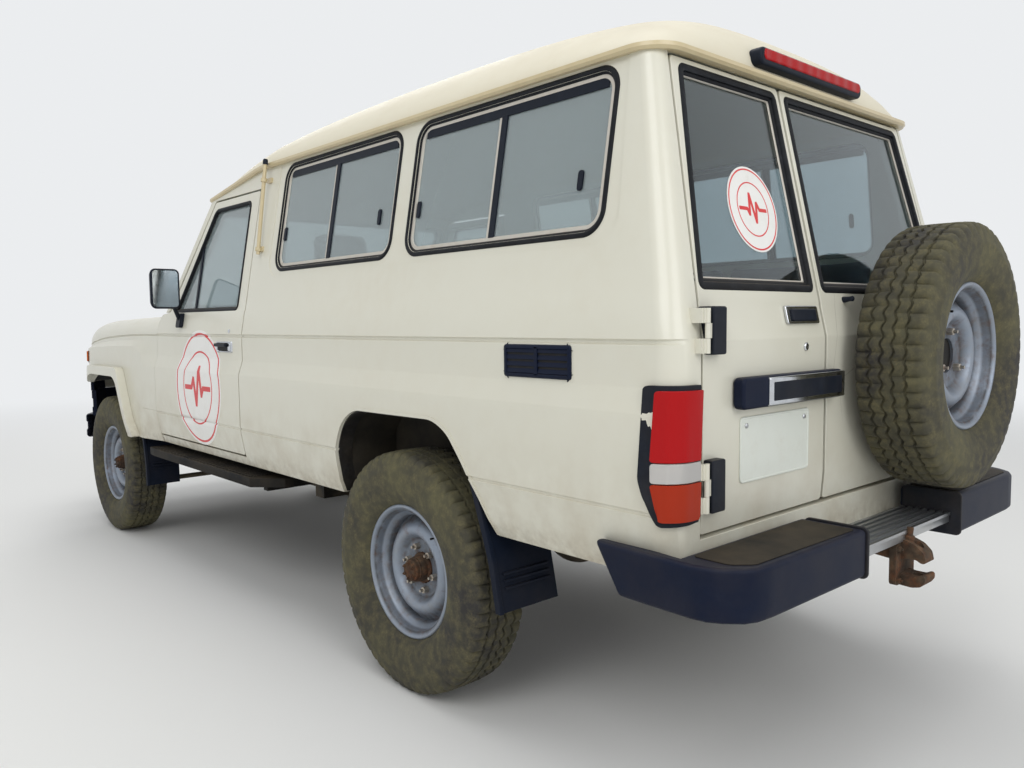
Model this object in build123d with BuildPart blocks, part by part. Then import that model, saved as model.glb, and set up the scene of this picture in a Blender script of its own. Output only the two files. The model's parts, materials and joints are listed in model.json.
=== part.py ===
from build123d import *
import os

os.makedirs("parts", exist_ok=True)

# A long wheelbase hard top 4x4 used as an ambulance wagon.
# Millimetres. X is across (the vehicle's left is +X), Y runs from the front (-Y) to the rear,
# Z is up from the road. The origin is on the road under the middle of the bounding box.

# Overall sizes
front_overhang = 870
wheelbase = 2980
rear_overhang = 1320
front_track = 1515
rear_track = 1480
body_half_width = 843
flare_out = 52

# Wheels
tyre_radius = 396
tyre_width = 215
rim_flange_radius = 220
bead_radius = 203
rim_width = 152
hub_radius = 52
hub_inner = 52
dish_place = 8
dish_thick = 8

# Stations along the vehicle, front axle first
length = front_overhang + wheelbase + rear_overhang
front_end_y = -length / 2
rear_end_y = length / 2
front_axle_y = front_end_y + front_overhang
rear_axle_y = front_axle_y + wheelbase
nose_y = front_axle_y - 690
door_front_y = front_axle_y + 777
door_rear_y = door_front_y + 1018
rear_face_y = rear_axle_y + 1080

# Heights, all carried by the axles
axle_z = tyre_radius
sill_z = axle_z + 204
door_bottom_z = sill_z + 45
floor_z = sill_z + 90
groove_z = sill_z + 160
wide_z = sill_z + 390
crease_z = sill_z + 452
belt_z = sill_z + 556
bonnet_front_z = belt_z - 71
bonnet_rear_z = belt_z + 98
cowl_z = belt_z + 109
gutter_z = belt_z + 710
front_gutter_z = gutter_z - 78
door_top_z = front_gutter_z - 13
roof_height = gutter_z + 249

# Slopes and walls
side_lean = 0.178
rear_lean = 0.2306
wall = 60
skin_flange = 14
panel_gap = 8
door_gap = 10
floor_thick = 30
glass_thick = 5
glass_inset = 14
seat_gap = 0.3

# Side windows, as front edge and rear edge, with the shared bottom and top
side_window_bottom_z = belt_z + 274
side_window_top_z = gutter_z - 26
side_windows_y = (
    (door_rear_y + 235, rear_face_y - 1215),
    (rear_face_y - 1110, rear_face_y - 273),
)

# Rear doors
rear_door_half = body_half_width - 121
rear_split_x = 140
rear_door_bottom_z = floor_z + 10
rear_door_top_z = gutter_z - 10
rear_window_bottom_z = belt_z + 132
rear_window_top_z = rear_door_top_z - 24

# Steering
kingpin_x = front_track / 2 - 147.5
steering_arm_y = 185


def skin_x(z):
    """Half width of the outer skin at a height."""
    rows = side_rows()
    for (z0, x0), (z1, x1) in zip(rows, rows[1:]):
        if z <= z1:
            return x0 + (x1 - x0) * (z - z0) / (z1 - z0)
    return rows[-1][1]


def side_rows():
    """Height and half width of the outer skin, from the sill to the gutter."""
    band = body_half_width - 20
    return (
        (sill_z, body_half_width - 36),
        (sill_z + 45, body_half_width - 20),
        (groove_z, body_half_width),
        (wide_z, body_half_width),
        (crease_z, band),
        (belt_z - 7, band),
        (belt_z, band - 5),
        (belt_z + 7, band),
        (gutter_z, band - side_lean * (gutter_z - belt_z)),
    )


def rear_y(z):
    """Rear face of the body at a height."""
    return rear_face_y - rear_lean * max(0, z - belt_z)


def outline(plane, points, radius=0):
    """A closed face through the points, with its corners rounded."""
    with BuildSketch(plane, mode=Mode.PRIVATE) as shape:
        with BuildLine():
            Polyline(*points, close=True)
        make_face()
        if radius:
            fillet(shape.vertices(), radius)
    return shape.sketch


def along_x(points, x_min, x_max, mode=Mode.ADD, radius=0):
    """A prism with its outline in Y and Z."""
    extrude(outline(Plane.YZ.offset(x_min), points, radius), amount=x_max - x_min, mode=mode)


def along_y(points, y_min, y_max, mode=Mode.ADD, radius=0):
    """A prism with its outline in X and Z."""
    extrude(outline(Plane.XZ.offset(-y_max), points, radius), amount=y_max - y_min, mode=mode)


def along_z(points, z_min, z_max, mode=Mode.ADD, radius=0):
    """A prism with its outline in X and Y."""
    extrude(outline(Plane.XY.offset(z_min), points, radius), amount=z_max - z_min, mode=mode)


def block(x0, x1, y0, y1, z0, z1, mode=Mode.ADD):
    """A box between two corners."""
    with Locations(((x0 + x1) / 2, (y0 + y1) / 2, (z0 + z1) / 2)):
        Box(abs(x1 - x0), abs(y1 - y0), abs(z1 - z0), mode=mode)


def rod(start, end, radius, mode=Mode.ADD):
    """A round bar from one point to another."""
    axis = Vector(*end) - Vector(*start)
    with BuildSketch(Plane(origin=start, z_dir=axis), mode=Mode.PRIVATE) as ring:
        Circle(radius)
    extrude(ring.sketch, amount=axis.length, mode=mode)


def side_strip(side, outer, inner):
    """Section of the body side between two depths behind the skin."""
    rows = side_rows()
    skin = [(side * (x - outer), z) for z, x in rows]
    back = [(side * (x - inner), z) for z, x in reversed(rows)]
    return skin + back


def rear_strip(outer, inner):
    """Section of the rear wall between two depths, in Y and Z."""
    heights = (sill_z, belt_z, gutter_z)
    skin = [(rear_y(z) - outer, z) for z in heights]
    back = [(rear_y(z) - inner, z) for z in reversed(heights)]
    return skin + back


def across(x0, x1):
    """Two places across the vehicle in rising order."""
    return min(x0, x1), max(x0, x1)


def finish(piece, name):
    """Name a finished piece and write it."""
    piece.part.label = name
    export_step(piece.part, f"parts/{name}.step")


sides = ((1, "left"), (-1, "right"))
outside = body_half_width + 100
cut_in_x = body_half_width - 343
pillar_depth = 58
wing_top_x = body_half_width - 153
wing_wall = 26

# The A pillar line is the front edge of the door frame
pillar_base_y = front_axle_y + 865
pillar_top_y = front_axle_y + 1275
pillar_slope = (pillar_top_y - pillar_base_y) / (front_gutter_z - cowl_z)


def pillar_y(z):
    """Front face of the windscreen pillar at a height."""
    return pillar_base_y + pillar_slope * (z - cowl_z)


def door_outline(inset_front, inset_rear, inset_edge):
    """Front door seen from the side."""
    front = door_front_y + inset_front
    rear = door_rear_y - inset_rear
    bottom = door_bottom_z + inset_edge
    top = door_top_z - inset_edge
    frame = 62 + inset_front
    return (
        (front, bottom),
        (front, cowl_z - 50),
        (front + 45, cowl_z - 8),
        (pillar_y(cowl_z) + frame, cowl_z + 5 - inset_edge),
        (pillar_y(top) + frame, top),
        (rear, top),
        (rear, bottom),
    )


def front_window(grow):
    """Glass opening of the front door, made larger by grow all round."""
    bottom = belt_z + 118 - grow
    top = door_top_z - 40 + grow
    return (
        (pillar_y(bottom) + 132 - grow, bottom),
        (pillar_y(top) + 110 - grow, top),
        (door_rear_y - 78 + grow, top),
        (door_rear_y - 78 + grow, bottom),
    )


def side_window(index, grow):
    """One body side window, made larger by grow all round."""
    front, rear = side_windows_y[index]
    y0 = front - grow
    y1 = rear + grow
    z0 = side_window_bottom_z - grow
    z1 = side_window_top_z + grow
    return (y0, z0), (y1, z0), (y1, z1), (y0, z1)


# Latch of the front door: a pin on the body and a slot in the door, open towards the cab
latch_z = 1020
latch_x = skin_x(latch_z) - 34
latch_reach = 34
striker_radius = 6

# Rear wheel opening of the body side, from the front edge round to the rear, about the axle
arch_room = 120
arch_top = axle_z + tyre_radius + arch_room
arch_points = (
    (4 - tyre_radius, sill_z - 20),
    (4 - tyre_radius, arch_top - 122),
    (96 - tyre_radius, arch_top),
    (tyre_radius - 158, arch_top + 4),
    (tyre_radius - 24, arch_top - 152),
    (tyre_radius + 74, sill_z - 20),
)
rear_arch = [(rear_axle_y + y, z) for y, z in arch_points]
wheel_box_x = rear_track / 2 - 180
wheel_box_top = arch_top + 28
wheel_box_thick = 24

for side, word in sides:
    with BuildPart() as body_side:
        along_y(side_strip(side, 0, wall), door_rear_y + panel_gap, rear_face_y)
        for index in range(2):
            along_x(side_window(index, 0), *across(side * cut_in_x, side * outside), Mode.SUBTRACT, 55)
        along_x(rear_arch, *across(side * cut_in_x, side * outside), Mode.SUBTRACT)
        rear_cut = ((rear_y(sill_z) - wall, sill_z - 50), (rear_y(belt_z) - wall, belt_z))
        rear_top = (rear_y(gutter_z + 50) - wall, gutter_z + 50)
        far = rear_face_y + 100
        along_x((*rear_cut, rear_top, (far, gutter_z + 50), (far, sill_z - 50)),
                *across(side * cut_in_x, side * outside), Mode.SUBTRACT)
        # Cant rail over the door, under the falling gutter
        low = door_top_z + panel_gap
        cant = ((side * skin_x(low), low), (side * skin_x(gutter_z), gutter_z),
                (side * (skin_x(gutter_z) - wall), gutter_z), (side * (skin_x(low) - wall), low))
        along_y(cant, pillar_top_y + pillar_depth, door_rear_y + panel_gap)
        rail_top = ((pillar_top_y - 10, front_gutter_z), (door_rear_y, gutter_z),
                    (door_rear_y, gutter_z + 50), (pillar_top_y - 10, gutter_z + 50))
        along_x(rail_top, *across(side * cut_in_x, side * outside), Mode.SUBTRACT)
        # The sill under the door runs forward to the front wing
        sill_outer = skin_x(sill_z)
        block(side * sill_outer, side * (sill_outer - wall), door_front_y + panel_gap,
              door_rear_y + panel_gap, sill_z, door_bottom_z - panel_gap)
        # Striker pin that the front door's latch closes round
        rod((side * latch_x, door_rear_y + panel_gap + 2, latch_z),
            (side * latch_x, door_rear_y - latch_reach, latch_z), striker_radius)
    finish(body_side, f"body_side_{word}")

# Rear door hinges stand proud of the corner posts, their leaves taking turns along the pin
opening_half = rear_door_half + 4
lean_in = 0.1165
hinge_pin_x = rear_door_half + 10
hinge_pin_y = rear_face_y + 22
knuckle_radius = 6.5
hinge_leaf = 6
hinge_foot = 14
hinge_rows = (
    # low end and high end of each hinge
    (759, 876),
    (1129, 1233),
)


def hinge_leaves(side, x_far, share):
    """Leaves and knuckles of one door's hinges: share 0 is the post's, share 1 the door's."""
    for low, high in hinge_rows:
        third = (high - low) / 3
        spans = ((low, low + third), (high - third, high)) if share == 0 else ((low + third, high - third),)
        for z0, z1 in spans:
            z0 = z0 + seat_gap * share
            z1 = z1 - seat_gap * share
            rod((side * hinge_pin_x, hinge_pin_y, z0), (side * hinge_pin_x, hinge_pin_y, z1), knuckle_radius)
            block(side * hinge_pin_x, side * x_far, hinge_pin_y - hinge_leaf, hinge_pin_y, z0, z1)
            x_foot = x_far - hinge_foot / 2 if share == 0 else x_far + hinge_foot
            block(side * x_foot, side * x_far, rear_y(z1) - 1, hinge_pin_y, z0, z1)


with BuildPart() as rear_frame:
    along_x(rear_strip(0, wall), -outside, outside)
    rows = side_rows()
    section = [(x, z) for z, x in rows] + [(-x, z) for z, x in reversed(rows)]
    along_y(section, rear_face_y - 400, rear_face_y + 10, Mode.INTERSECT)
    hole_top = gutter_z + 20
    top_half = opening_half - lean_in * (hole_top - belt_z)
    hole = (
        (opening_half, rear_door_bottom_z - panel_gap),
        (opening_half, belt_z),
        (top_half, hole_top),
        (-top_half, hole_top),
        (-opening_half, belt_z),
        (-opening_half, rear_door_bottom_z - panel_gap),
    )
    along_y(hole, rear_face_y - 400, rear_face_y + 10, Mode.SUBTRACT)
    for side in (1, -1):
        hinge_leaves(side, hinge_pin_x + 12, 0)
finish(rear_frame, "rear_frame")

# Roof: a cross section cut to its side view, hollow under a skin
roof_skin = 34
roof_edge = skin_x(gutter_z)
shoulder_x = roof_edge - 70
shoulder_z = gutter_z + 124
gutter_out = 22
gutter_thick = 12
roof_rear_y = rear_y(gutter_z) + 14


def roof_section(inset):
    """Roof from side to side at a depth under its skin."""
    edge = roof_edge - inset * 1.2
    crown = roof_height - inset
    with BuildSketch(Plane.XZ.offset(-rear_end_y), mode=Mode.PRIVATE) as section:
        with BuildLine():
            Line((-edge, front_gutter_z - 20 - inset), (edge, front_gutter_z - 20 - inset))
            Line((edge, front_gutter_z - 20 - inset), (edge, gutter_z))
            Line((edge, gutter_z), (edge - 24, gutter_z + 70))
            ThreePointArc((edge - 24, gutter_z + 70), (edge - 42, gutter_z + 108 - inset / 2),
                          (shoulder_x - inset, shoulder_z - inset))
            ThreePointArc((shoulder_x - inset, shoulder_z - inset), (0, crown),
                          (-shoulder_x + inset, shoulder_z - inset))
            ThreePointArc((-shoulder_x + inset, shoulder_z - inset),
                          (-edge + 42, gutter_z + 108 - inset / 2), (-edge + 24, gutter_z + 70))
            Line((-edge + 24, gutter_z + 70), (-edge, gutter_z))
            Line((-edge, gutter_z), (-edge, front_gutter_z - 20 - inset))
        make_face()
    return section.sketch


def roof_side_view(inset):
    """Roof seen from the side at a depth under its skin."""
    front = pillar_top_y - 25
    low = -60 if inset else 0
    return (
        (front + inset, front_gutter_z + low),
        (front + inset, front_gutter_z + 32 - inset / 2),
        (front + 100 + inset, roof_height - 170 - inset),
        (front + 330, roof_height - 75 - inset),
        (front + 760, roof_height - 19 - inset),
        (front + 1300, roof_height - inset),
        (roof_rear_y - 700, roof_height - 7 - inset),
        (roof_rear_y - 250, roof_height - 45 - inset),
        (roof_rear_y - 80 - inset / 2, roof_height - 105 - inset),
        (roof_rear_y - inset, gutter_z + 60 - inset / 2),
        (roof_rear_y - inset, gutter_z + low),
        (door_rear_y, gutter_z + low),
    )


with BuildPart() as roof_hollow:
    extrude(roof_section(roof_skin), amount=length)
    along_x(roof_side_view(roof_skin), -outside, outside, Mode.INTERSECT)

with BuildPart() as roof:
    extrude(roof_section(0), amount=length)
    along_x(roof_side_view(0), -outside, outside, Mode.INTERSECT)
    add(roof_hollow.part, mode=Mode.SUBTRACT)
    # Drip rail down both sides and across the back
    for side in (1, -1):
        rail = ((roof_rear_y + gutter_out, gutter_z), (roof_rear_y + gutter_out, gutter_z + gutter_thick),
                (door_rear_y, gutter_z + gutter_thick), (pillar_top_y - 20, front_gutter_z + gutter_thick),
                (pillar_top_y - 20, front_gutter_z), (door_rear_y, gutter_z))
        along_x(rail, *across(side * (roof_edge - 20), side * (roof_edge + gutter_out)))
    block(-roof_edge, roof_edge, roof_rear_y - 20, roof_rear_y + gutter_out, gutter_z, gutter_z + gutter_thick)
finish(roof, "roof")

# Cowl: bulkhead, scuttle and the ring round the windscreen
bulkhead_y = door_front_y - 70
inner_sill_x = skin_x(sill_z) - wall
screen_low = cowl_z + 25
screen_high = front_gutter_z - 45


def windscreen_shape(inset):
    """Windscreen opening seen from the front, made smaller by inset all round."""
    low_x = skin_x(screen_low) - 75 - inset
    high_x = skin_x(screen_high) - 70 - inset
    low = screen_low + inset
    high = screen_high - inset
    return (low_x, low), (high_x, high), (-high_x, high), (-low_x, low)


doorways = []
for side in (1, -1):
    with BuildPart() as doorway:
        along_y(side_strip(side, -10, wall + panel_gap), door_front_y - 50, door_rear_y + 50)
        along_x(door_outline(-panel_gap, -panel_gap, -panel_gap),
                *across(side * cut_in_x, side * outside), Mode.INTERSECT)
    doorways.append(doorway.part)

with BuildPart() as cowl:
    ring = (
        (pillar_y(cowl_z - 90), cowl_z - 90),
        (pillar_y(front_gutter_z), front_gutter_z),
        (pillar_y(front_gutter_z) + pillar_depth, front_gutter_z),
        (pillar_y(cowl_z - 90) + pillar_depth, cowl_z - 90),
    )
    along_x(ring, -outside, outside)
    rows = side_rows()
    section = [(x, z) for z, x in rows] + [(-x, z) for z, x in reversed(rows)]
    along_y(section, bulkhead_y - 200, door_rear_y, Mode.INTERSECT)
    along_y(windscreen_shape(0), bulkhead_y - 200, door_rear_y, Mode.SUBTRACT, 50)
    block(-inner_sill_x - 2, inner_sill_x + 2, bulkhead_y, bulkhead_y + 30, floor_z, belt_z + 6)
    scuttle = ((bulkhead_y, belt_z - 20), (bulkhead_y, bonnet_rear_z - 12),
               (pillar_y(cowl_z) + 20, cowl_z), (pillar_y(cowl_z) + 50, cowl_z - 60))
    along_x(scuttle, -wing_top_x, wing_top_x)
    for side in (1, -1):
        # Hinge pillar that carries the front door
        block(side * inner_sill_x, side * (skin_x(sill_z) - wing_wall - seat_gap), bulkhead_y,
              door_front_y - panel_gap, sill_z, belt_z - 10)
    add(doorways, mode=Mode.SUBTRACT)
finish(cowl, "cowl")

# Front wings with their raised wheel lips
wing_front_y = nose_y
wing_rear_y = door_front_y - panel_gap
lip_depth = 95
wing_low = sill_z + 250
nose_reach = nose_y - front_axle_y - 20
front_arch_points = (
    (nose_reach, wing_low),
    (-tyre_radius - 24, wing_low),
    (44 - tyre_radius, wing_low + 20),
    (134 - tyre_radius, arch_top + 6),
    (tyre_radius - 163, arch_top + 6),
    (tyre_radius - 40, sill_z + 90),
    (tyre_radius + 74, sill_z - 30),
    (nose_reach, sill_z - 30),
)
front_arch = [(front_axle_y + y, z) for y, z in front_arch_points]
lip_points = (
    (-tyre_radius - 74, wing_low + 10),
    (-tyre_radius - 14, wing_low + 60),
    (86 - tyre_radius, arch_top + 63),
    (tyre_radius - 121, arch_top + 63),
    (tyre_radius + 16, sill_z + 100),
    (tyre_radius + 124, sill_z),
)
bonnet_line = (
    # place behind the nose, and height of the bonnet's edge above its front brow
    (0, -25),
    (40, 42),
    (120, 92),
    (255, 128),
    (500, 152),
    (bulkhead_y - nose_y, bonnet_rear_z - bonnet_front_z),
)


def nose_line(inset):
    """Side view of the bonnet's edge, lowered by an inset."""
    return [(nose_y + back, bonnet_front_z + up - inset) for back, up in bonnet_line]


def wing_section(side, inset):
    """Section of a wing from its inner edge over the shoulder to the sill, inset by a wall."""
    rows = [(x - inset, z) for z, x in side_rows() if z < belt_z + 7]
    band = skin_x(belt_z + 7)
    rows += [
        (band - inset, belt_z + 7),
        (band - 9 - inset, belt_z + 42 - inset / 2),
        (band - 35 - inset, belt_z + 72 - inset),
        (band - 75, belt_z + 91 - inset),
        (wing_top_x + 8, bonnet_rear_z + 2 - inset),
        (wing_top_x + 8, sill_z),
    ]
    return [(side * x, z) for x, z in rows]


def nose_plan(side, inset, inner):
    """Plan of the nose, whose corners are rounded, inset by a wall."""
    half = body_half_width - inset
    return [
        (side * inner, wing_rear_y + 10),
        (side * (half + flare_out + 5), wing_rear_y + 10),
        (side * (half + flare_out + 5), nose_y + 345),
        (side * half, nose_y + 290),
        (side * (half - 28), nose_y + 215 + inset / 2),
        (side * (half - 62), nose_y + 130 + inset / 2),
        (side * (half - 110), nose_y + 65 + inset),
        (side * (wing_top_x + 8), nose_y + 35 + inset),
        (side * inner, nose_y + (35 + inset if inner > wing_top_x else 0)),
    ]


wings = []
for side in (1, -1):
    slope = nose_line(0) + [(wing_rear_y, bonnet_rear_z + 2), (wing_rear_y, sill_z), (wing_front_y, sill_z)]
    hollow_slope = nose_line(28) + [(wing_rear_y + 20, bonnet_rear_z - 26), (wing_rear_y + 20, sill_z - 10),
                                    (wing_front_y, sill_z - 10)]
    with BuildPart() as hollow:
        along_y(wing_section(side, wing_wall), wing_front_y - 10, wing_rear_y + 20)
        along_x(hollow_slope, *across(side * cut_in_x, side * outside), Mode.INTERSECT)
        along_z(nose_plan(side, wing_wall, wing_top_x + 7), sill_z - 20, bonnet_rear_z + 60, Mode.INTERSECT)
    with BuildPart() as wing:
        along_y(wing_section(side, 0), wing_front_y, wing_rear_y)
        lip = [(front_axle_y + y, z) for y, z in lip_points]
        along_x(lip, *across(side * (body_half_width - wing_wall), side * body_half_width + side * flare_out))
        along_x(slope, *across(side * cut_in_x, side * outside), Mode.INTERSECT)
        along_z(nose_plan(side, 0, wing_top_x + 7), sill_z - 20, bonnet_rear_z + 60, Mode.INTERSECT)
        add(hollow.part, mode=Mode.SUBTRACT)
        along_x(front_arch, *across(side * cut_in_x, side * outside), Mode.SUBTRACT)
    wings.append(wing.part)

with BuildPart() as front_wings:
    add(wings)
finish(front_wings, "front_wings")

# Bonnet, hinged across its rear edge
bonnet_half = wing_top_x
bonnet_lip = 70
bonnet_front_y = nose_y
bonnet_rear_y = bulkhead_y - panel_gap
bonnet_hinge = (0, bonnet_rear_y - 10, bonnet_rear_z - 5)
with BuildPart() as bonnet:
    side_view = [(bonnet_front_y, bonnet_front_z - bonnet_lip)]
    side_view += nose_line(0)[:-1]
    side_view += [(bonnet_rear_y, bonnet_rear_z), (bonnet_rear_y, bonnet_rear_z - 40)]
    side_view += [(y + 30, z - 4) for y, z in reversed(nose_line(36)[1:-1])]
    side_view += [(bonnet_front_y + 44, bonnet_front_z - bonnet_lip)]
    along_x(side_view, -bonnet_half, bonnet_half)
finish(bonnet, "bonnet")

# Grille panel with its lamp bowls
lamp_x = wing_top_x - 130
lamp_z = bonnet_front_z - 180
lamp_radius = 96
slat_low = lamp_z - 105
slat_high = lamp_z + 85
grille_depth = 60
grille_y = nose_y
with BuildPart() as grille_panel:
    block(-outside, outside, grille_y + 26, grille_y + 26 + grille_depth, sill_z + 40,
          bonnet_front_z - bonnet_lip - seat_gap)
    wing_inside = [(x - wing_wall - seat_gap, z) for z, x in side_rows()]
    for side in (1, -1):
        # The corner below the wing's front end
        face = nose_plan(side, wing_wall + 3 * seat_gap, wing_top_x - 40)[3:8]
        back = nose_plan(side, wing_wall + 36, wing_top_x - 40)[3:8]
        along_z(face + back[::-1], sill_z + 40, wing_low - seat_gap)
    along_y(wing_inside + [(-x, z) for x, z in reversed(wing_inside)], grille_y, grille_y + 230, Mode.INTERSECT)
    corner_plan = nose_plan(1, wing_wall + 3 * seat_gap, wing_top_x - 40)[2:]
    along_z([(corner_plan[0][0], 0), *corner_plan, *[(-x, y) for x, y in reversed(corner_plan)],
             (-corner_plan[0][0], 0)], sill_z, bonnet_front_z, Mode.INTERSECT)
    grille_half = lamp_x - lamp_radius - 34
    block(-grille_half, grille_half, grille_y, grille_y + 90, slat_low, slat_high, Mode.SUBTRACT)
    for count in range(13):
        x = grille_half * (count - 6) / 7
        block(x - 6, x + 6, grille_y + 40, grille_y + 70, slat_low, slat_high)
    with Locations((lamp_x, grille_y + 50, lamp_z), (-lamp_x, grille_y + 50, lamp_z)):
        Cylinder(lamp_radius, 200, rotation=(90, 0, 0), mode=Mode.SUBTRACT)
finish(grille_panel, "grille_panel")

with BuildPart() as headlamps:
    for x in (lamp_x, -lamp_x):
        with Locations((x, grille_y + 56, lamp_z)):
            Cylinder(lamp_radius - seat_gap, 80, rotation=(90, 0, 0))
finish(headlamps, "headlamps")

# Front bumper, a channel on two brackets
front_bumper_half = body_half_width - 43
front_bumper_z = sill_z - 120
front_bumper_tall = 150
front_bumper_deep = 130
bumper_sheet = 15
rail_x = 400
rail_front_y = front_axle_y - 640
with BuildPart() as front_bumper:
    low = front_bumper_z
    high = front_bumper_z + front_bumper_tall
    back = front_end_y + front_bumper_deep
    along_x(((front_end_y, low), (front_end_y, high), (back, high + 10), (back, high - 5),
             (front_end_y + bumper_sheet, high - 18), (front_end_y + bumper_sheet, low + 18),
             (back, low + 5), (back, low - 10)), -front_bumper_half, front_bumper_half)
    corner = [(front_bumper_half, back), (front_bumper_half, back - 35), (front_bumper_half - 95, front_end_y + 28),
              (front_bumper_half - 200, front_end_y)]
    along_z(corner + [(-x, y) for x, y in reversed(corner)], low - 20, high + 20, Mode.INTERSECT)
    for x in (rail_x, -rail_x):
        block(x - 25, x + 25, front_end_y + bumper_sheet - 1, rail_front_y, low + 20, high - 30)
finish(front_bumper, "front_bumper")

# Chassis: two rails that rise over each axle, and their cross members
gearbox_low_z = sill_z - 130
rail_wide = 60
rail_in_x = rail_x - rail_wide / 2
rail_out_x = rail_x + rail_wide / 2
rail_deep = 105
rail_front_z = sill_z + 10
rail_middle_z = sill_z - 60
rail_rear_z = sill_z + 55
rail_tail_z = sill_z + 10
rail_end_y = rear_face_y - wall
rail_line = (
    # y, z of the rail's top
    (rail_front_y, rail_front_z),
    (front_axle_y + 660, rail_front_z),
    (front_axle_y + 800, rail_middle_z),
    (rear_axle_y - 860, rail_middle_z),
    (rear_axle_y - 640, rail_rear_z),
    (rear_axle_y + 600, rail_rear_z),
    (rear_axle_y + 720, rail_tail_z),
    (rail_end_y, rail_tail_z),
)
tube_radius = 36
tail_tube_y = rail_end_y - 50
tail_tube_z = rail_tail_z - 44
cross_rows = (
    # y, z of the tube's middle
    (front_axle_y - 560, rail_front_z - 70),
    (front_axle_y + 1180, gearbox_low_z - tube_radius - seat_gap),
    (front_axle_y + 1500, rail_middle_z - 80),
    (rear_axle_y - 250, rail_rear_z - 55),
    (rear_axle_y + 350, rail_rear_z - 55),
    (tail_tube_y, tail_tube_z),
)
mount_rows = (
    # y, z of the rail's top there
    (front_axle_y + 840, rail_middle_z),
    (front_axle_y + 1650, rail_middle_z),
    (rear_axle_y - 880, rail_middle_z),
    (rear_axle_y + 760, rail_tail_z),
)
mount_share = 0.536
mount_x = rail_out_x + (inner_sill_x - rail_out_x) * mount_share
mount_radius = 32
floor_under = floor_z - floor_thick
flap_top_z = sill_z + 25
with BuildPart() as chassis_rails:
    rail_section = list(rail_line) + [(y, z - rail_deep) for y, z in reversed(rail_line)]
    for side in (1, -1):
        along_x(rail_section, *across(side * rail_in_x, side * rail_out_x))
finish(chassis_rails, "chassis_rails")

with BuildPart() as cross_members:
    for y, z in cross_rows:
        rod((seat_gap - rail_in_x, y, z), (rail_in_x - seat_gap, y, z), tube_radius)
finish(cross_members, "cross_members")

# Brackets outside the rails, each with the rubber that the floor stands on
with BuildPart() as body_mounts:
    for y, z in mount_rows:
        for side in (1, -1):
            block(side * (rail_out_x + seat_gap), side * (mount_x + 40), y - 35, y + 35, z - 60, z - 5)
            rod((side * mount_x, y, z - 20), (side * mount_x, y, floor_under - seat_gap), mount_radius)
finish(body_mounts, "body_mounts")

# Floor from the bulkhead to the tail, with a box over each rear wheel
with BuildPart() as floor:
    floor_front = bulkhead_y + 31
    floor_rear = rear_face_y - wall - seat_gap
    box_front = rear_axle_y - tyre_radius - 4
    box_rear = rear_axle_y + tyre_radius + 84
    block(-inner_sill_x + seat_gap, inner_sill_x - seat_gap, floor_front, floor_rear, floor_under, floor_z)
    block(-outside, outside, door_rear_y + panel_gap, floor_rear, floor_under, floor_z)
    for side in (1, -1):
        block(side * wheel_box_x, side * outside, box_front, box_rear, floor_under - 10,
              wheel_box_top + wheel_box_thick)
        wheel_well = [(rear_axle_y + y, z) for y, z in
                      ((11 - tyre_radius, sill_z), (11 - tyre_radius, arch_top - 112),
                       (106 - tyre_radius, wheel_box_top), (tyre_radius - 146, wheel_box_top),
                       (tyre_radius - 16, arch_top - 132), (tyre_radius + 59, sill_z))]
        along_x(wheel_well, *across(side * (wheel_box_x + wheel_box_thick), side * outside), Mode.SUBTRACT)
        block(side * (inner_sill_x - 47), side * inner_sill_x, door_front_y, box_front, sill_z + 5, floor_z)
        block(side * (inner_sill_x - 47), side * inner_sill_x, box_rear, floor_rear, flap_top_z, floor_z)
    block(-opening_half, opening_half, floor_rear - 60, floor_rear - seat_gap, flap_top_z, floor_z)
    inside = [(x - wall - seat_gap, z) for z, x in side_rows()]
    along_y(inside + [(-x, z) for x, z in reversed(inside)], floor_front, floor_rear, Mode.INTERSECT)
finish(floor, "floor")

# Axles: tube, differential bowl and ends
front_diff_x = 190
front_tube = 42
rear_tube = 46
axle_rows = (
    # name, y, half length of the tube, differential place across, tube radius
    ("front_axle", front_axle_y, kingpin_x - 66, front_diff_x, front_tube),
    ("rear_axle", rear_axle_y, rear_track / 2 - hub_inner - seat_gap, 0, rear_tube),
)
kingpin_half = 120
yoke_out = 144
yoke_gap = 0.5
diff_nose = 190
for name, y, half, diff_x, tube in axle_rows:
    with BuildPart() as axle:
        rod((-half, y, axle_z), (half, y, axle_z), tube)
        with Locations((diff_x, y, axle_z)):
            Sphere(132)
        toward = 1 if y < 0 else -1
        rod((diff_x, y, axle_z), (diff_x, y + toward * diff_nose, axle_z), 62)
        if name == "front_axle":
            # Yoke that holds each kingpin above and below
            for side in (1, -1):
                block(side * (kingpin_x - 80), side * (kingpin_x - 58), y - 32, y + 32,
                      axle_z - yoke_out, axle_z + yoke_out)
                for way in (1, -1):
                    block(side * (kingpin_x - 70), side * (kingpin_x + 24), y - 32, y + 32,
                          axle_z + way * (kingpin_half + yoke_gap), axle_z + way * yoke_out)
        else:
            for side in (1, -1):
                with Locations((side * (half - 16), y, axle_z)):
                    Cylinder(86, 32, rotation=(0, 90, 0))
    finish(axle, name)

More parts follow.
